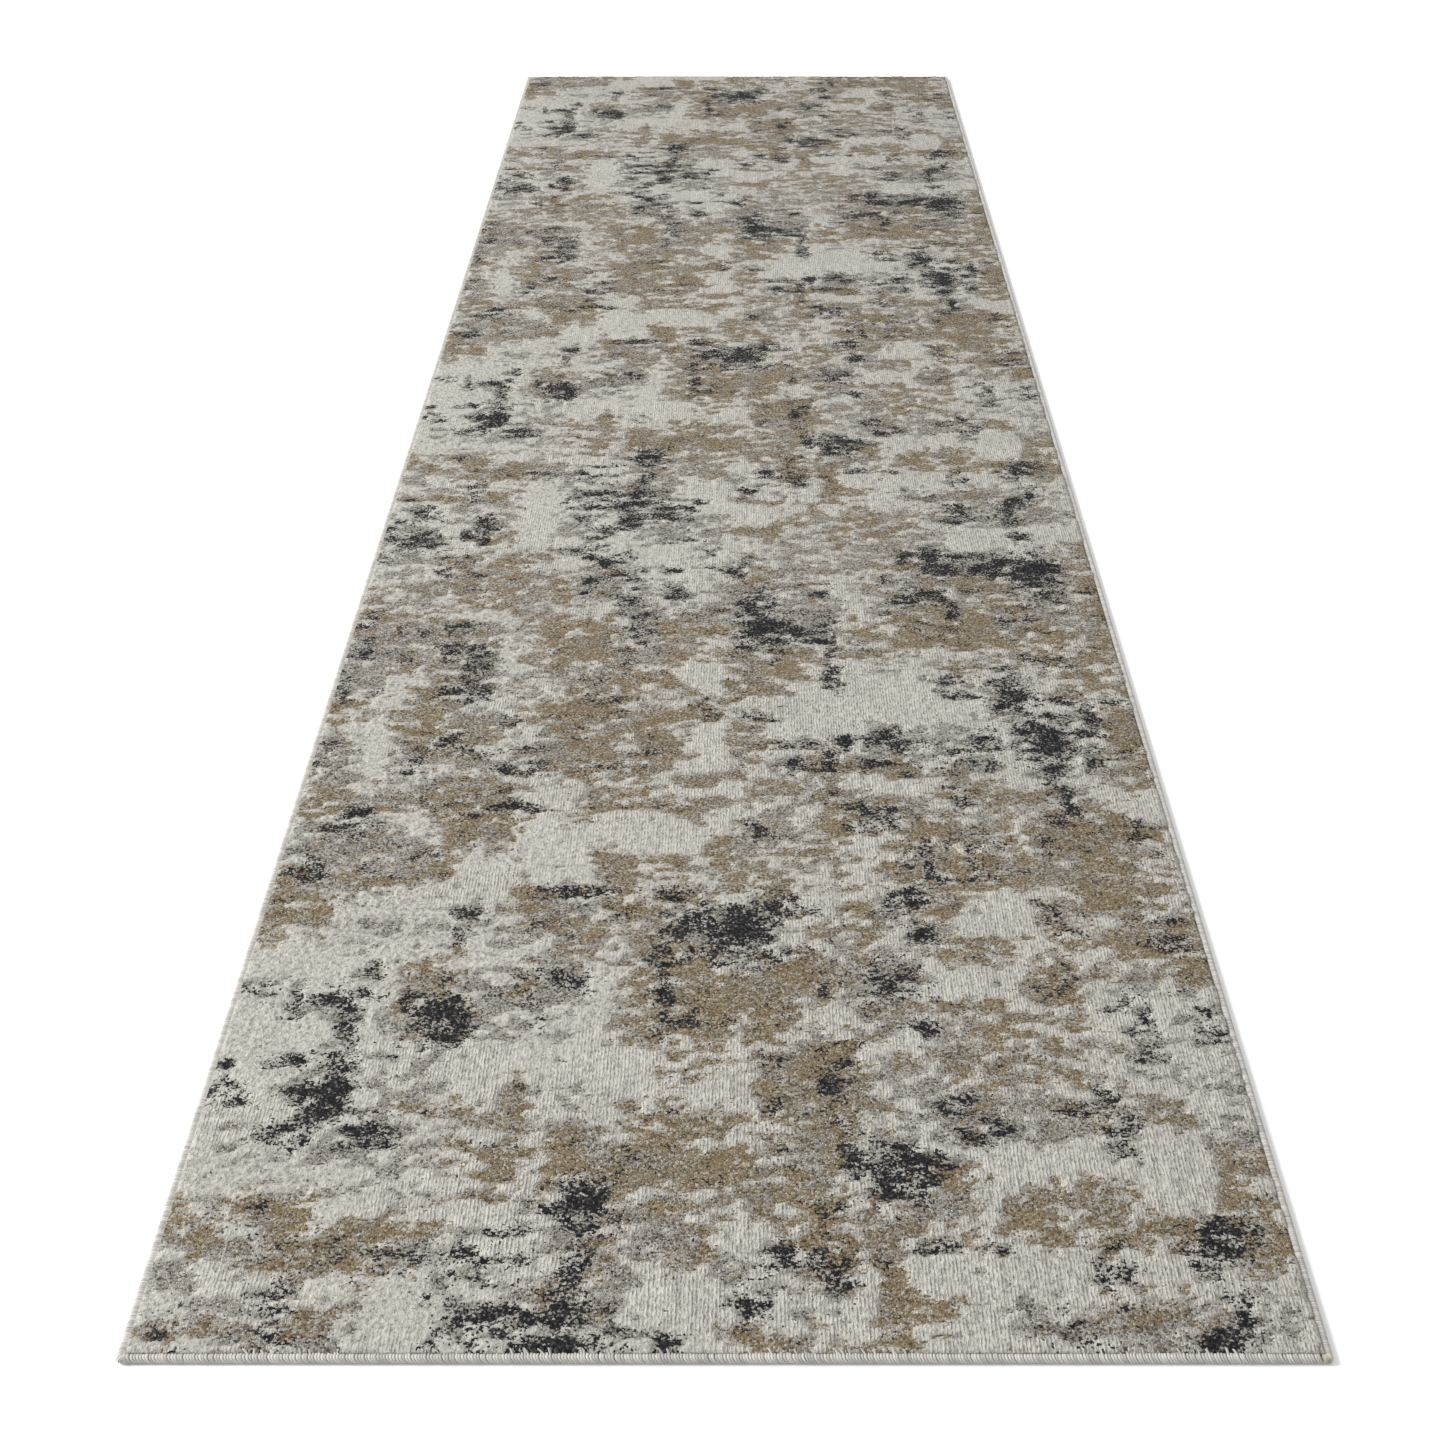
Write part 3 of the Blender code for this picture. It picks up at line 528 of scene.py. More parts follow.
def pileHeight(x, y, raised, ribbed):
    across = (x - rugLow.x) * centimetres
    along = ((y - rugLow.y) * centimetres) % design["repeat"]
    nubs = np.zeros_like(across)
    for n, (cellAcross, cellAlong, amount) in enumerate(pile["nubCells"]):
        nubs += amount * grain(across, along, cellAcross, cellAlong, 81 + n)
    ribs = grain(across, along, *pile["ribCell"], 83)
    relief = pile["nubs"] * nubs * (1.0 - pile["nubsOnRibs"] * ribbed) + pile["ribs"] * ribs * ribbed
    relief = relief * (pile["cutRelief"] + (1.0 - pile["cutRelief"]) * raised)
    return pile["cutHeight"] + pile["raisedBy"] * raised + relief


def readPoints(mesh):
    points = np.empty(len(mesh.vertices) * 3, np.float32)
    mesh.vertices.foreach_get("co", points)
    return points.reshape(-1, 3).astype(float)


def writeVector(mesh, name, *columns):
    values = np.stack([np.asarray(column, np.float32) for column in columns], axis=1)
    mesh.attributes.new(name, "FLOAT_VECTOR", "POINT").data.foreach_set("vector", values.ravel())


def writePoints(mesh, points):
    mesh.vertices.foreach_set("co", points.astype(np.float32).ravel())


def faceOutwards():
    # the active piece, in edit mode before and in object mode afterwards
    bpy.ops.mesh.select_all(action="SELECT")
    bpy.ops.mesh.normals_make_consistent(inside=False)
    bpy.ops.object.mode_set(mode="OBJECT")


def makePileStrip(name, low, high, material):
    halfX = pileHigh.x - pile["roll"]
    halfY = pileHigh.y - pile["roll"]
    low = max(low, -halfY)
    high = min(high, halfY)
    bpy.ops.object.select_all(action="DESELECT")
    bpy.ops.mesh.primitive_grid_add(
        x_subdivisions=round(2 * halfX / pile["spacing"]),
        y_subdivisions=round((high - low) / pile["spacing"]),
        size=1.0,
        location=(0.0, (low + high) / 2, 0.0),
    )
    piece = bpy.context.object
    piece.name = name
    piece.data.name = name
    piece.scale = (2 * halfX, high - low, 1.0)
    bpy.ops.object.transform_apply(location=True, rotation=True, scale=True)
    # rings are pulled down a metre apart, so that their height tells which ring they are
    bpy.ops.object.mode_set(mode="EDIT")
    bpy.ops.mesh.select_all(action="SELECT")
    bpy.ops.mesh.region_to_loop()
    for _ in range(pile["rollSteps"] + 1):
        bpy.ops.mesh.extrude_region_move(TRANSFORM_OT_translate={"value": (0.0, 0.0, -1.0)})
    bpy.ops.mesh.edge_face_add()
    bpy.ops.object.mode_set(mode="OBJECT")
    mesh = piece.data
    points = readPoints(mesh)
    ring = np.round(-points[:, 2]).astype(int)
    x, y = points[:, 0].copy(), points[:, 1].copy()
    charcoal, taupe, grey, raised, ribbed, pale = designAt(x, y)
    top = pileHeight(x, y, raised, ribbed)
    turn = np.minimum(ring, pile["rollSteps"]) / pile["rollSteps"] * math.pi / 2
    lean = np.where(ring > pile["rollSteps"], 0.0, pile["bush"])
    outwards = (pile["roll"] + lean) * np.sin(turn)
    downwards = pile["roll"] * (1.0 - np.cos(turn))
    height = np.where(ring > pile["rollSteps"], pileMargin, top - downwards)
    close = pile["spacing"] / 10
    atSide = np.sign(x) * (np.abs(np.abs(x) - halfX) < close)
    atEnd = np.sign(y) * (np.abs(np.abs(y) - halfY) < close)
    points[:, 0] = x + atSide * outwards
    points[:, 1] = y + atEnd * outwards
    points[:, 2] = height
    writePoints(mesh, points)
    bpy.ops.object.mode_set(mode="EDIT")
    faceOutwards()
    bpy.ops.object.shade_smooth_by_angle(angle=math.radians(pile["smoothAngle"]))
    writeVector(mesh, "yarnFields", charcoal, taupe, grey)
    writeVector(mesh, "pileTexture", raised, ribbed, pale)
    # the wall's tufts are laid out as if it were folded flat
    wall = top - height + outwards * pile["leanLength"]
    writeVector(mesh, "tuftPlace", x + atSide * wall, y + atEnd * wall, x * 0.0)
    mesh.materials.clear()
    mesh.materials.append(material)
    return piece


yarns = {
    # shades from the darkest to the lightest, each with its place on a scale from 0 to 1
    # the last stop of the charcoal, taupe and grey scales paints the few lightest tufts bright, a painted
    # glint over their own lighter yarn
    "charcoal": [
        (0.0, (0.008, 0.008, 0.010)), (0.55, (0.018, 0.018, 0.020)),
        (0.85, (0.052, 0.050, 0.049)), (1.0, (0.18, 0.172, 0.157)),
    ],
    "taupe": [
        (0.0, (0.045, 0.035, 0.022)), (0.15, (0.120, 0.090, 0.050)), (0.5, (0.198, 0.148, 0.084)),
        (0.85, (0.268, 0.213, 0.132)), (1.0, (0.42, 0.38, 0.30)),
    ],
    "grey": [
        (0.0, (0.035, 0.033, 0.030)), (0.2, (0.125, 0.116, 0.100)), (0.5, (0.245, 0.228, 0.195)),
        (0.8, (0.340, 0.320, 0.278)), (1.0, (0.48, 0.462, 0.41)),
    ],
    # the cream and pale scales follow the crepe's relief, so their darker stops are painted shade in its
    # pits and furrows
    "cream": [
        (0.28, (0.195, 0.187, 0.167)), (0.42, (0.305, 0.293, 0.262)),
        (0.53, (0.380, 0.367, 0.329)), (0.70, (0.460, 0.446, 0.404)),
    ],
    "pale": [
        (0.30, (0.15, 0.144, 0.130)), (0.45, (0.245, 0.236, 0.212)), (0.65, (0.340, 0.328, 0.296)),
    ],
}

tufts = {
    # how fine each pattern is, per metre; with two numbers, across and along the rug
    "perMetre": 700.0,
    "scatter": 0.85,
    "fray": 1900.0,
    "frayReach": 0.0011,
    "streaks": (210.0, 400.0, 1.0),
    "mottles": (230.0, 300.0, 1.0),
    "drift": 26.0,
    # how strongly each thing moves the outline of a patch
    "streakAmount": 2.3,
    "brushAmount": 1.1,
    "luck": {"charcoal": 1.1, "taupe": 0.45, "grey": 0.5, "pale": 0.5},
    "goldenDrift": 2.2,     # golden and grey tufts mix in the taupe areas
    "greyShare": 0.2,
    "glints": 0.05,         # share of the tufts
    "glintRoughness": 0.45,
    "roughness": 0.88,
    "bump": (0.9, 0.0014),
}

crepe = {
    # fineness as above, and how much each pattern adds
    "ribs": (400.0, 190.0, 1.0),
    "ribAmount": 0.8,
    "furrows": (165.0, 30.0, 1.0),
    "furrowAmount": 0.30,
    "columnPitch": 0.0027,
    "columnWobble": 2.4,
    "columnAmount": 0.16,
    "ribShare": 0.65,       # in the ribbed areas, the rest being nubs
    "nubs": 260.0,
    "nubAmount": 0.65,
    "knots": 150.0,
    "knotAmount": 0.42,
    "fibres": 1400.0,
    "fibreTone": 0.3,
    "fibreHeight": 0.12,
    "height": 2.6,
}


def rampOf(tree, value, stops):
    node = addNode(tree, "ShaderNodeValToRGB", Fac=value)
    band = node.color_ramp
    while len(band.elements) < len(stops):
        band.elements.new(0.5)
    for element, (position, colour) in zip(band.elements, stops):
        element.position = position
        element.color = (*colour, 1.0)
    return node.outputs["Color"]


def makePileMaterial():
    material, tree, shader = startMaterial("pile yarn")
    flat = addNode(tree, "ShaderNodeAttribute", {"attribute_name": "tuftPlace"}).outputs["Vector"]
    # tufts have frayed outlines
    fray = noiseOf(tree, flat, tufts["fray"], 1.0, output="Color")
    frayed = pushed(tree, flat, fray, tufts["frayReach"])
    cells = addNode(tree, "ShaderNodeTexVoronoi", {"voronoi_dimensions": "2D"}, Vector=frayed)
    cells.inputs["Scale"].default_value = tufts["perMetre"]
    cells.inputs["Randomness"].default_value = tufts["scatter"]
    spot = cells.outputs["Position"]
    luck = addNode(tree, "ShaderNodeSeparateColor", Color=cells.outputs["Color"]).outputs
    shade = addNode(tree, "ShaderNodeTexWhiteNoise", {"noise_dimensions": "2D"}, Vector=spot)
    glitter = addNode(tree, "ShaderNodeSeparateColor", Color=shade.outputs["Color"]).outputs
    fields = attributeOf(tree, "yarnFields")
    raised, ribbed, pale = attributeOf(tree, "pileTexture")
    streaks = noiseOf(tree, stretched(tree, spot, tufts["streaks"]), 1.0, 1.0, output="Color")
    streaks = addNode(tree, "ShaderNodeSeparateColor", Color=streaks).outputs
    mottle = noiseOf(tree, stretched(tree, spot, tufts["mottles"]), 1.0, 1.0, 0.6)
    brushed = noiseOf(tree, stretched(tree, spot, crepe["ribs"]), 1.0, 1.0, 0.6)
    drift = noiseOf(tree, flat, tufts["drift"])

    def shows(field, streak, chance, yarn):
        # streaks, brushing and the luck of single tufts roughen the outline of each patch
        total = calc(tree, "ADD", field, offset(tree, streak, tufts["streakAmount"]))
        total = calc(tree, "ADD", total, offset(tree, brushed, tufts["brushAmount"]))
        total = calc(tree, "ADD", total, offset(tree, chance, tufts["luck"][yarn]))
        return calc(tree, "GREATER_THAN", total, 0.0)

    isCharcoal = shows(fields["X"], streaks["Red"], luck["Red"], "charcoal")
    isTaupe = shows(fields["Y"], streaks["Green"], luck["Green"], "taupe")
    isGrey = shows(fields["Z"], streaks["Blue"], luck["Blue"], "grey")
    isPale = shows(pale, mottle, luck["Red"], "pale")

    # crepe: ribs, furrows and columns that run along the rug, or nubs, with knots over both
    ribs = noiseOf(tree, stretched(tree, flat, crepe["ribs"]), 1.0, 2.0, 0.65)
    furrows = noiseOf(tree, stretched(tree, flat, crepe["furrows"]), 1.0, 1.0)
    columns = addNode(tree, "ShaderNodeTexWave", {"bands_direction": "X"}, Vector=flat)
    columns.inputs["Scale"].default_value = wavePeriod / crepe["columnPitch"]
    columns.inputs["Distortion"].default_value = crepe["columnWobble"]
    columns.inputs["Detail"].default_value = 1.0
    nubs = noiseOf(tree, flat, crepe["nubs"], 3.0, 0.65)
    knots = noiseOf(tree, flat, crepe["knots"], 2.0, 0.6)
    fibres = noiseOf(tree, flat, crepe["fibres"], 2.0, 0.6)
    ribs = calc(tree, "ADD", offset(tree, ribs, crepe["ribAmount"]), 0.5)
    ribs = calc(tree, "ADD", ribs, offset(tree, furrows, crepe["furrowAmount"]))
    ribs = calc(tree, "ADD", ribs, offset(tree, columns.outputs["Fac"], crepe["columnAmount"]))
    nubs = calc(tree, "ADD", offset(tree, nubs, crepe["nubAmount"]), 0.5)
    grains = blendColours(tree, calc(tree, "MULTIPLY", ribbed, crepe["ribShare"]), nubs, ribs)
    grains = calc(tree, "ADD", grains, offset(tree, knots, crepe["knotAmount"]))
    # the crepe pattern is both the bump height and the cream's colour, so the cream is darker in its pits
    # and furrows as painted shade, with fibres in its tone
    crepeShadeAndTone = calc(tree, "ADD", grains, offset(tree, fibres, crepe["fibreTone"]))
    # each tuft's own random tone, whose top end brings in the painted glints of the tuft scales
    tuftTone = shade.outputs["Value"]

    bright = rampOf(tree, crepeShadeAndTone, yarns["cream"])
    cream = blendColours(tree, isPale, bright, rampOf(tree, crepeShadeAndTone, yarns["pale"]))
    grey = rampOf(tree, tuftTone, yarns["grey"])
    # the taupe areas are a mix of golden and grey tufts
    mixed = calc(tree, "ADD", offset(tree, drift, tufts["goldenDrift"]), luck["Blue"])
    isGolden = calc(tree, "GREATER_THAN", mixed, tufts["greyShare"])
    taupe = blendColours(tree, isGolden, grey, rampOf(tree, tuftTone, yarns["taupe"]))
    colour = blendColours(tree, isGrey, cream, grey)
    colour = blendColours(tree, isTaupe, colour, taupe)
    colour = blendColours(tree, isCharcoal, colour, rampOf(tree, tuftTone, yarns["charcoal"]))
    worn = ramp(tree, drift, 0.3, 0.7, 0.95, 1.04)
    grained = calc(tree, "MULTIPLY", worn, ramp(tree, fibres, 0.25, 0.75, 0.86, 1.12))
    plug(tree, shader.inputs["Base Color"], blendColours(tree, 1.0, colour, grained, "MULTIPLY"))

    # cut tufts are domes of uneven height
    domes = ramp(tree, cells.outputs["Distance"], 0.0, 0.75, 1.0, 0.0)
    cut = calc(tree, "MULTIPLY", domes, ramp(tree, glitter["Red"], 0.0, 1.0, 0.5, 1.0))
    embossed = calc(tree, "MULTIPLY", grains, crepe["height"])
    embossed = calc(tree, "ADD", embossed, offset(tree, fibres, crepe["fibreHeight"]))
    addBump(tree, shader, blendColours(tree, raised, cut, embossed), *tufts["bump"])
    glint = calc(tree, "GREATER_THAN", glitter["Green"], 1.0 - tufts["glints"])
    roughness = ramp(tree, glint, 0.0, 1.0, tufts["roughness"], tufts["glintRoughness"])
    plug(tree, shader.inputs["Roughness"], roughness)
    plug(tree, shader.inputs["Sheen Weight"], ramp(tree, isCharcoal, 0.0, 1.0, 0.06, 0.0))
    shader.inputs["Sheen Roughness"].default_value = 0.5
    shader.inputs["Specular IOR Level"].default_value = 0.08
    return material


# the lowest point of the pile's outer wall, where it meets the serged margin
pilePoints = readPoints(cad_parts["pile_field"].data)
atWall = np.abs(pilePoints[:, 0]) > pileHigh.x - pile["tolerance"]
pileMargin = float(pilePoints[atWall, 2].min())

pileMaterial = makePileMaterial()
stripLength = (pileHigh.y - pileLow.y) / pile["strips"]
for number, name in enumerate(("pile_near", "pile_middle", "pile_far")):
    start = pileLow.y + number * stripLength
    strip = makePileStrip(name, start, start + stripLength, pileMaterial)
    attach(strip, "root")
    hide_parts("pile_field")
print("pile made")


# ---- serged edges: each wrap of yarn is its own closed strand

wraps = {
    "sides": 6,             # of a strand
    "turns": 8,
    "thickness": 0.0012,
    "lipAngle": 62.0,       # where the upper lip leaves the bead, in degrees
    "lipRise": 0.0018,      # its end above the margin of the pile
    "pitch": {"side": 0.0020, "end": 0.00205, "corner": 0.0017},
    "fullness": {"side": 1.35, "end": 1.16, "corner": 1.3},    # strand width over pitch
    "lean": {"side": 0.0003, "end": 0.0044},                    # along the edge, over the bead's height
    "taper": (0.6, 0.7, 0.6),
    "unevenPlace": 0.05,    # spread between neighbours, in pitches
    "unevenLean": 0.12,
    "swell": (-0.01, 0.015),        # mean and spread, but never above the bead's own size
    "looseEnds": 0.22,      # share of end wraps whose tail lies over the pile
    "looseReach": (0.5, 1.0),
    "tightReach": (0.0, 0.25),
    "tailFrom": 0.45,       # of the thickness, from the end of the strand
    "tailInwards": 0.0016,
    "tailUpwards": 0.0030,
    "tailSway": 0.0012,
    "cornerWraps": 9,
    "cornerPower": 4.5,     # how square the corner is
    "cornerLean": 0.0006,
    "cornerStep": 0.006,    # each strand is smaller than the one before by this share
    "smoothAngle": 75.0,
}


def makeOneWrap(band, width, lipHeight, tail):
    # the section lies in XZ: X runs inwards from the rug's outer edge
    half = wraps["thickness"] / 2
    track = beadRadius - half
    bpy.ops.object.select_all(action="DESELECT")
    bpy.ops.mesh.primitive_circle_add(
        vertices=wraps["sides"],
        radius=half,
        fill_type="NGON",
        location=(band - half, 0.0, half),
        rotation=(0.0, math.pi / 2, 0.0),
    )
    wrap = bpy.context.object
    bpy.ops.object.transform_apply(location=True, rotation=True, scale=True)
    bpy.ops.object.mode_set(mode="EDIT")
    bpy.ops.mesh.select_all(action="SELECT")
    bpy.ops.transform.resize(value=(1.0, width / wraps["thickness"], 1.0))
    bpy.ops.mesh.extrude_region_move(
        TRANSFORM_OT_translate={"value": (beadRadius - band + half, 0.0, 0.0)}
    )
    bpy.ops.mesh.spin(
        steps=wraps["turns"],
        angle=-math.radians(270.0 - wraps["lipAngle"]),
        center=(beadRadius, 0.0, beadRadius),
        axis=(0.0, 1.0, 0.0),
    )
    lip = math.radians(wraps["lipAngle"])
    endX = beadRadius + track * math.cos(lip)
    endZ = beadRadius + track * math.sin(lip)
    bpy.ops.mesh.extrude_region_move(
        TRANSFORM_OT_translate={"value": (band - half - endX, 0.0, lipHeight - endZ)}
    )
    if tail:
        bpy.ops.mesh.extrude_region_move(TRANSFORM_OT_translate={"value": (half, 0.0, half)})
    bpy.ops.transform.resize(value=wraps["taper"])
    faceOutwards()
    return wrap


def finishYarn(piece, name, node, shades, flanks, material):
    piece.name = name
    piece.data.name = name
    mesh = piece.data
    # each strand's own tone, and how far across the strand a point lies, for the painted shade in the gaps
    writeVector(mesh, "wrapShade", shades, flanks, shades * 0.0)
    bpy.ops.object.shade_smooth_by_angle(angle=math.radians(wraps["smoothAngle"]))
    bpy.ops.object.transform_apply(location=True, rotation=True, scale=True)
    mesh.materials.clear()
    mesh.materials.append(material)
    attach(piece, "root")
    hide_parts(node)
    return piece


def makeSerging(name, node, kind, band, length, turn, place, material, seed):
    pitch = wraps["pitch"][kind]
    tail = kind == "end"
    lipHeight = pileMargin + wraps["lipRise"]
    width = pitch * wraps["fullness"][kind]
    piece = makeOneWrap(band, width, lipHeight, tail)
    perWrap = len(piece.data.vertices)
    count = int(length / pitch)
    copies = piece.modifiers.new("copies", "ARRAY")
    copies.use_relative_offset = False
    copies.use_constant_offset = True
    copies.constant_offset_displace = (0.0, length / count, 0.0)
    copies.count = count
    bpy.ops.object.modifier_apply(modifier=copies.name)
    mesh = piece.data
    points = readPoints(mesh).reshape(count, perWrap, 3)
    # how far across its strand each point lies, which the yarn material turns into painted shade in the
    # gaps
    flanks = np.repeat(np.abs(points[:1, :, 1]) / (width / 2), count, axis=0)
    draw = np.random.default_rng(seed)
    if tail:
        # the tails of some wraps lie up over the edge of the pile
        atTail = points[0, :, 0] > band - wraps["thickness"] * wraps["tailFrom"]
        isLoose = draw.random((count, 1)) < wraps["looseEnds"]
        loose = draw.uniform(*wraps["looseReach"], (count, 1))
        tight = draw.uniform(*wraps["tightReach"], (count, 1))
        reach = np.where(isLoose, loose, tight)
        points[:, atTail, 0] += reach * wraps["tailInwards"]
        points[:, atTail, 2] += reach * wraps["tailUpwards"]
        points[:, atTail, 1] += reach * draw.normal(0.0, wraps["tailSway"], (count, 1))
    # every wrap leans along the edge, and none lies quite like the next
    upwards = points[:, :, 2] / (2 * beadRadius) - 0.5
    points[:, :, 1] += wraps["lean"][kind] * upwards
    points[:, :, 1] += draw.normal(0.0, wraps["unevenPlace"], (count, 1)) * pitch
    points[:, :, 1] += draw.normal(0.0, wraps["unevenLean"], (count, 1)) * pitch * upwards
    swell = np.minimum(1.0 + draw.normal(*wraps["swell"], (count, 1)), 1.0)
    points[:, :, 0] = beadRadius + (points[:, :, 0] - beadRadius) * swell
    points[:, :, 2] = beadRadius + (points[:, :, 2] - beadRadius) * swell
    points[:, :, 1] -= (count - 1) / 2 * length / count
    writePoints(mesh, points)
    piece.rotation_euler = (0.0, 0.0, turn)
    piece.location = place
    shades = np.repeat(draw.random(count), perWrap)
    return finishYarn(piece, name, node, shades, flanks.ravel(), material)


def makeCorner(name, node, signX, signY, material, seed):
    # the wraps fan round the corner, about the inner corner of the sewn tack
    low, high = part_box(node)
    reachX, reachY = high.x - low.x, high.y - low.y
    pivot = Vector((signX * (rugHigh.x - reachX), signY * (rugHigh.y - reachY), 0.0))
    draw = np.random.default_rng(seed)
    power = wraps["cornerPower"]
    width = wraps["pitch"]["corner"] * wraps["fullness"]["corner"]
    strands = []
    shades = []
    flanks = []
    for n in range(wraps["cornerWraps"]):
        turn = (n + 0.5) / wraps["cornerWraps"] * math.pi / 2
        outX, outY = math.cos(turn), math.sin(turn)
        reach = ((outX / reachX) ** power + (outY / reachY) ** power) ** (-1 / power)
        strand = makeOneWrap(reach, width, pileMargin + wraps["lipRise"], False)
        points = readPoints(strand.data)
        # how far across its strand each point lies, for the painted shade in the gaps
        flanks += list(np.abs(points[:, 1]) / (width / 2))
        # no two strands lie at quite the same height where they meet
        shrunk = 1.0 - wraps["cornerStep"] * (n + 1)
        points[:, 2] = beadRadius + (points[:, 2] - beadRadius) * shrunk
        points[:, 0] -= reach
        upwards = points[:, 2] / (2 * beadRadius) - 0.5
        lean = wraps["cornerLean"] * upwards * draw.uniform(0.2, 1.6)
        inwards, sideways = points[:, 0].copy(), points[:, 1] + lean
        # the strand's outward direction is (outX, outY), mirrored into this corner
        points[:, 0] = pivot.x + signX * (-inwards * outX - sideways * outY)
        points[:, 1] = pivot.y + signY * (-inwards * outY + sideways * outX)
        writePoints(strand.data, points)
        strands.append(strand)
        shades += [draw.random()] * len(strand.data.vertices)
    bpy.ops.object.select_all(action="DESELECT")
    for strand in strands:
        strand.select_set(True)
    bpy.context.view_layer.objects.active = strands[0]
    bpy.ops.object.join()
    piece = strands[0]
    bpy.ops.object.mode_set(mode="EDIT")
    faceOutwards()
    return finishYarn(piece, name, node, np.array(shades), np.array(flanks), material)


sergingYarn = {
    # the lightest and the darkest strands
    "fresh": ((0.53, 0.515, 0.47), (0.36, 0.345, 0.315)),
    "yellowed": ((0.50, 0.465, 0.37), (0.36, 0.33, 0.26)),
    "ownShare": 0.6,        # of a strand's own shade, and the rest drifts along the edge
    "drift": 60.0,
    "fibres": 1800.0,
    "gapShade": 0.38,       # painted shade in the gaps between the strands
    "bump": (0.5, 0.0003),
}


def makeYarnMaterial(name, light, dark):
    material, tree, shader = startMaterial(name)
    place = addNode(tree, "ShaderNodeTexCoord").outputs["Object"]
    own, flank, _ = attributeOf(tree, "wrapShade")
    fibres = noiseOf(tree, place, sergingYarn["fibres"], 2.0, 0.6)
    drift = noiseOf(tree, place, sergingYarn["drift"])
    own = calc(tree, "MULTIPLY", own, sergingYarn["ownShare"])
    drift = calc(tree, "MULTIPLY", drift, 1.0 - sergingYarn["ownShare"])
    tone = calc(tree, "ADD", own, drift)
    colour = blendColours(tree, ramp(tree, tone, 0.1, 0.9), dark, light)
    # the strands darken towards their flanks, a painted shade in the gaps between them, and fibres vary
    # their tone
    gaps = ramp(tree, flank, 0.4, 0.95, 1.0, sergingYarn["gapShade"])
    fibreToneAndGapShade = calc(tree, "MULTIPLY", ramp(tree, fibres, 0.25, 0.75, 0.82, 1.08), gaps)
    plug(tree, shader.inputs["Base Color"], blendColours(tree, 1.0, colour, fibreToneAndGapShade, "MULTIPLY"))
    addBump(tree, shader, fibres, *sergingYarn["bump"])
    plug(tree, shader.inputs["Roughness"], ramp(tree, fibres, 0.2, 0.8, 0.65, 0.85))
    shader.inputs["Sheen Weight"].default_value = 0.2
    shader.inputs["Sheen Roughness"].default_value = 0.4
    return material


yarnMaterial = makeYarnMaterial("serging yarn", *sergingYarn["fresh"])
tackMaterial = makeYarnMaterial("yellowed serging yarn", *sergingYarn["yellowed"])
sideBand = sideHigh.x - sideLow.x
endBand = endHigh.y - endLow.y
sideLength = sideHigh.y - sideLow.y
endLength = endHigh.x - endLow.x
quarter = math.pi / 2
yarnPieces = [
    makeSerging("yarn_serging_left", "serging_left", "side", sideBand, sideLength, 0.0,
                (rugLow.x, 0.0, 0.0), yarnMaterial, 11),
    makeSerging("yarn_serging_right", "serging_right", "side", sideBand, sideLength, 2 * quarter,
                (rugHigh.x, 0.0, 0.0), yarnMaterial, 12),
    makeSerging("yarn_serging_near", "serging_near", "end", endBand, endLength, quarter,
                (0.0, rugLow.y, 0.0), yarnMaterial, 13),
    makeSerging("yarn_serging_far", "serging_far", "end", endBand, endLength, -quarter,
                (0.0, rugHigh.y, 0.0), yarnMaterial, 14),
    makeCorner("yarn_tack_near_left", "corner_tack_near_left", -1, -1, yarnMaterial, 21),
    makeCorner("yarn_tack_near_right", "corner_tack_near_right", 1, -1, tackMaterial, 22),
    makeCorner("yarn_tack_far_left", "corner_tack_far_left", -1, 1, yarnMaterial, 23),
    makeCorner("yarn_tack_far_right", "corner_tack_far_right", 1, 1, yarnMaterial, 24),
]
print("serged edges made")


# ---- the underside: the woven ground seen through its latex coat

weave = {
    "yarnWidth": 0.0022,
    "jute": (0.40, 0.30, 0.17),
    "cotton": (0.50, 0.45, 0.35),
    "wobble": 90.0,
    "wobbleReach": 0.0012,
    "fibres": 900.0,
    "stains": 14.0,
    "ghost": 0.45,          # how much of the taupe shows through
    "darkGhost": 0.63,      # and of the charcoal
    "taupeGhost": (0.20, 0.15, 0.09),
    "charcoalGhost": (0.05, 0.048, 0.045),
    "bump": (0.7, 0.0006),
    "spacing": 0.008,       # between points of the back
    "smoothAngle": 50.0,
}


def weavePattern(tree, place, width):
    # strands pass over and under each other in turn
    over = addNode(tree, "ShaderNodeTexChecker", Vector=place)
    over.inputs["Scale"].default_value = 1.0 / width
    across = addNode(tree, "ShaderNodeTexWave", {"bands_direction": "X"}, Vector=place)
    along = addNode(tree, "ShaderNodeTexWave", {"bands_direction": "Y"}, Vector=place)
    for wave in (across, along):
        wave.inputs["Scale"].default_value = wavePeriod / width
    height = blendColours(tree, over.outputs["Fac"], across.outputs["Fac"], along.outputs["Fac"])
    return over.outputs["Fac"], height


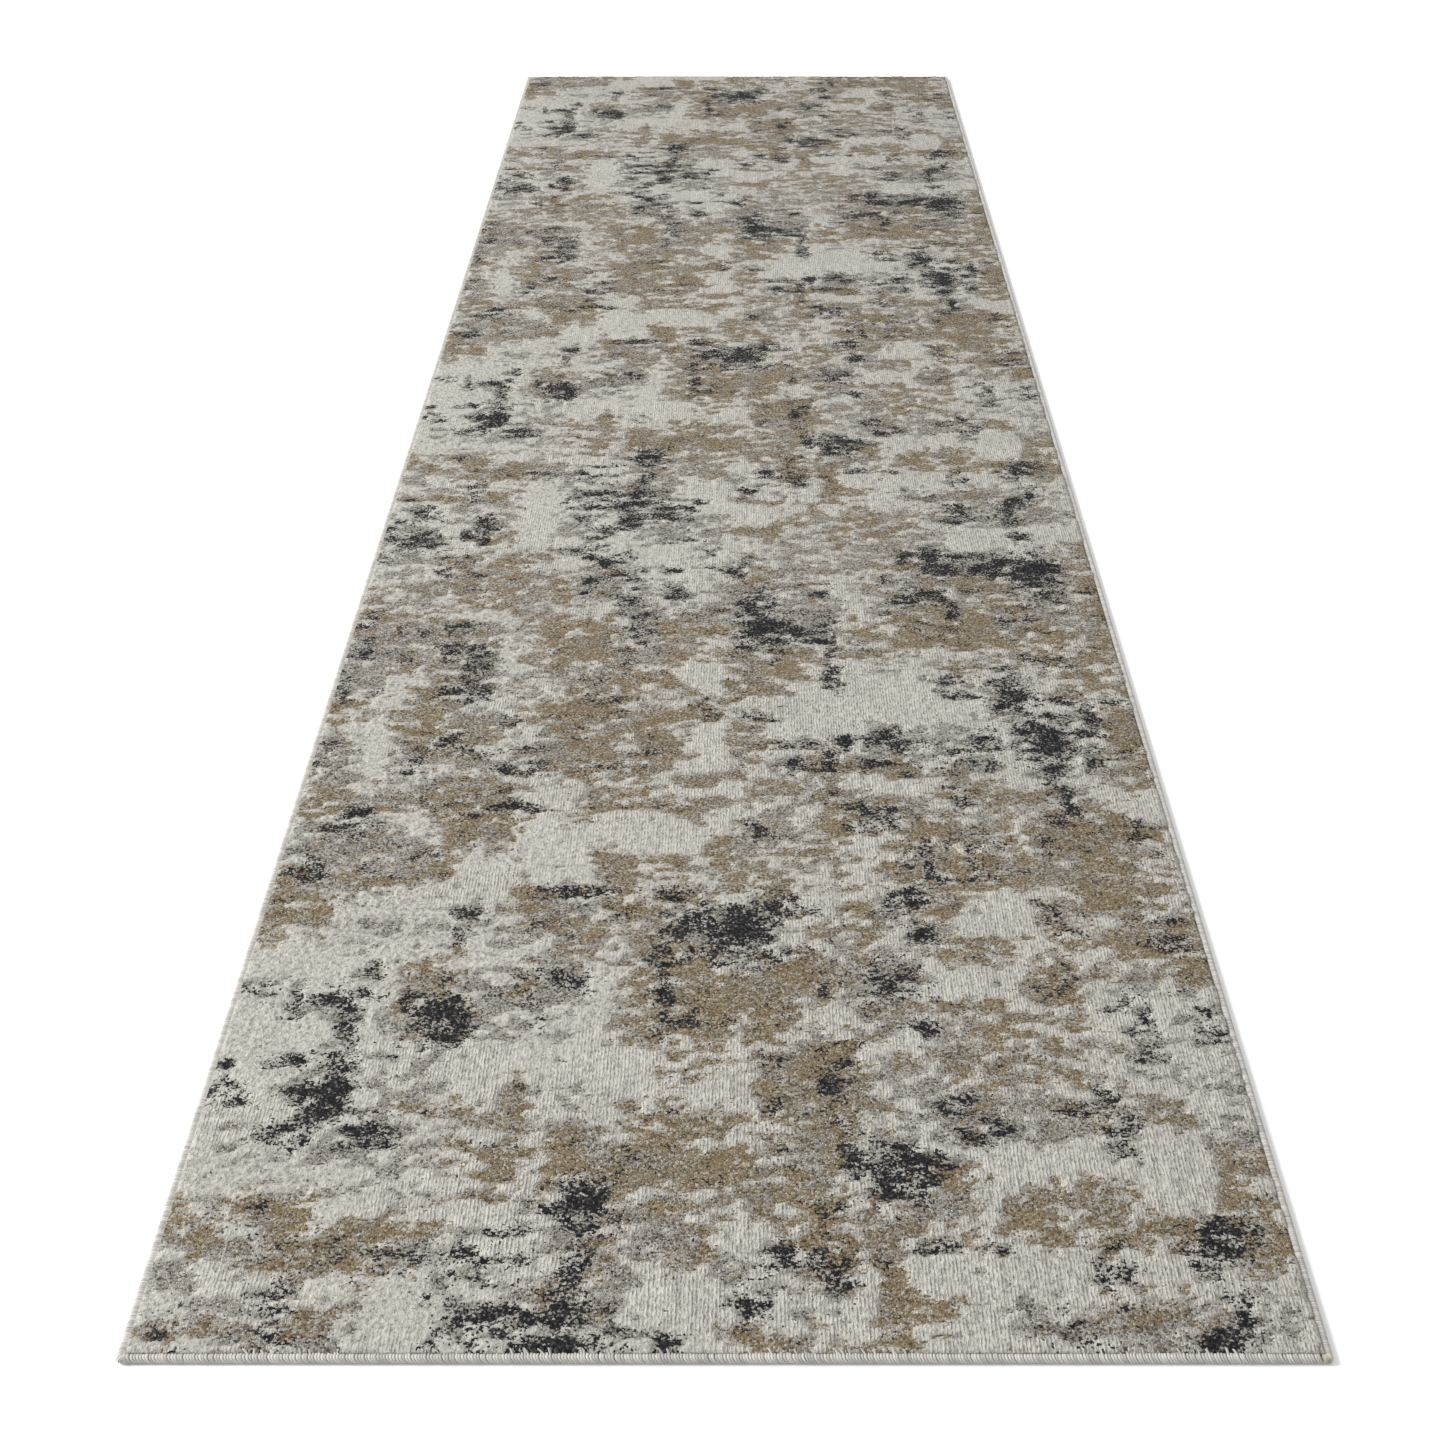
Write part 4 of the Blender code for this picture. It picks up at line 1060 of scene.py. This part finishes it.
def makeWeaveMaterial(name, coated):
    material, tree, shader = startMaterial(name)
    place = addNode(tree, "ShaderNodeTexCoord").outputs["Object"]
    # the yarns wander a little
    wobble = addNode(tree, "ShaderNodeTexNoise", Vector=place)
    wobble.inputs["Scale"].default_value = weave["wobble"]
    moved = pushed(tree, place, wobble.outputs["Color"], weave["wobbleReach"])
    over, height = weavePattern(tree, moved, weave["yarnWidth"])
    fibres = noiseOf(tree, place, weave["fibres"], 3.0, 0.6)
    stains = noiseOf(tree, place, weave["stains"], 3.0)
    colour = blendColours(tree, over, weave["jute"], weave["cotton"])
    if coated:
        charcoal, taupe, _ = attributeOf(tree, "yarnFields")
        taupe = ramp(tree, taupe, -0.3, 0.4, 0.0, weave["ghost"])
        charcoal = ramp(tree, charcoal, -0.3, 0.4, 0.0, weave["darkGhost"])
        colour = blendColours(tree, taupe, colour, weave["taupeGhost"])
        colour = blendColours(tree, charcoal, colour, weave["charcoalGhost"])
    # the weave is darker where its yarns dip between crossings, a painted shade, and fibres and stains then
    # vary its tone
    shade = ramp(tree, height, 0.0, 0.6, 0.45, 1.0)
    shade = calc(tree, "MULTIPLY", shade, ramp(tree, fibres, 0.3, 0.7, 0.8, 1.1))
    shade = calc(tree, "MULTIPLY", shade, ramp(tree, stains, 0.3, 0.7, 0.88, 1.06))
    plug(tree, shader.inputs["Base Color"], blendColours(tree, 1.0, colour, shade, "MULTIPLY"))
    height = calc(tree, "ADD", height, calc(tree, "MULTIPLY", fibres, 0.3))
    addBump(tree, shader, height, *weave["bump"])
    if coated:
        plug(tree, shader.inputs["Roughness"], ramp(tree, stains, 0.35, 0.65, 0.42, 0.62))
        shader.inputs["Coat Weight"].default_value = 0.15
        shader.inputs["Coat Roughness"].default_value = 0.35
    else:
        plug(tree, shader.inputs["Roughness"], ramp(tree, fibres, 0.2, 0.8, 0.8, 0.95))
    return material


def makeBack(material):
    sizeX, sizeY = coatHigh.x - coatLow.x, coatHigh.y - coatLow.y
    bpy.ops.object.select_all(action="DESELECT")
    bpy.ops.mesh.primitive_grid_add(
        x_subdivisions=round(sizeX / weave["spacing"]),
        y_subdivisions=round(sizeY / weave["spacing"]),
        size=1.0,
        location=(0.0, 0.0, coatLow.z),
    )
    piece = bpy.context.object
    piece.name = "coated_back"
    piece.data.name = "coated_back"
    piece.scale = (sizeX, sizeY, 1.0)
    bpy.ops.object.transform_apply(location=True, rotation=True, scale=True)
    bpy.ops.object.mode_set(mode="EDIT")
    bpy.ops.mesh.select_all(action="SELECT")
    bpy.ops.mesh.extrude_region_move(
        TRANSFORM_OT_translate={"value": (0.0, 0.0, coatHigh.z - coatLow.z)}
    )
    faceOutwards()
    bpy.ops.object.shade_smooth_by_angle(angle=math.radians(weave["smoothAngle"]))
    points = readPoints(piece.data)
    charcoal, taupe, grey = designAt(points[:, 0], points[:, 1])[:3]
    writeVector(piece.data, "yarnFields", charcoal, taupe, grey)
    piece.data.materials.clear()
    piece.data.materials.append(material)
    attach(piece, "root")
    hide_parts("back_coat")
    return piece


cord = {
    # the cord's colour on the ridges of its twist, and darker in its grooves as painted shade
    "light": (0.60, 0.56, 0.48),
    "dark": (0.36, 0.32, 0.25),
    "twist": 140.0,
    "twistWobble": 1.0,
    "fibres": 1500.0,
    "bump": (0.6, 0.0004),
    "roughness": 0.9,
}


def makeCordMaterial():
    material, tree, shader = startMaterial("filler cord")
    place = addNode(tree, "ShaderNodeTexCoord").outputs["Object"]
    twist = addNode(tree, "ShaderNodeTexWave", {"bands_direction": "DIAGONAL"}, Vector=place)
    twist.inputs["Scale"].default_value = cord["twist"]
    twist.inputs["Distortion"].default_value = cord["twistWobble"]
    fibres = noiseOf(tree, place, cord["fibres"], 2.0, 0.6)
    # the cord is darker in the grooves of its twist, a painted shade, and its fibres vary the tone
    shade = calc(tree, "MULTIPLY", twist.outputs["Fac"], ramp(tree, fibres, 0.3, 0.7, 0.8, 1.0))
    plug(tree, shader.inputs["Base Color"], blendColours(tree, shade, cord["dark"], cord["light"]))
    addBump(tree, shader, shade, *cord["bump"])
    shader.inputs["Roughness"].default_value = cord["roughness"]
    return material


back = makeBack(makeWeaveMaterial("coated weave", True))
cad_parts["ground_weave"].material_slots[0].material = makeWeaveMaterial("bare weave", False)
cordMaterial = makeCordMaterial()
for side in ("left", "right", "near", "far"):
    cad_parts["edge_cord_" + side].material_slots[0].material = cordMaterial
print("underside made")
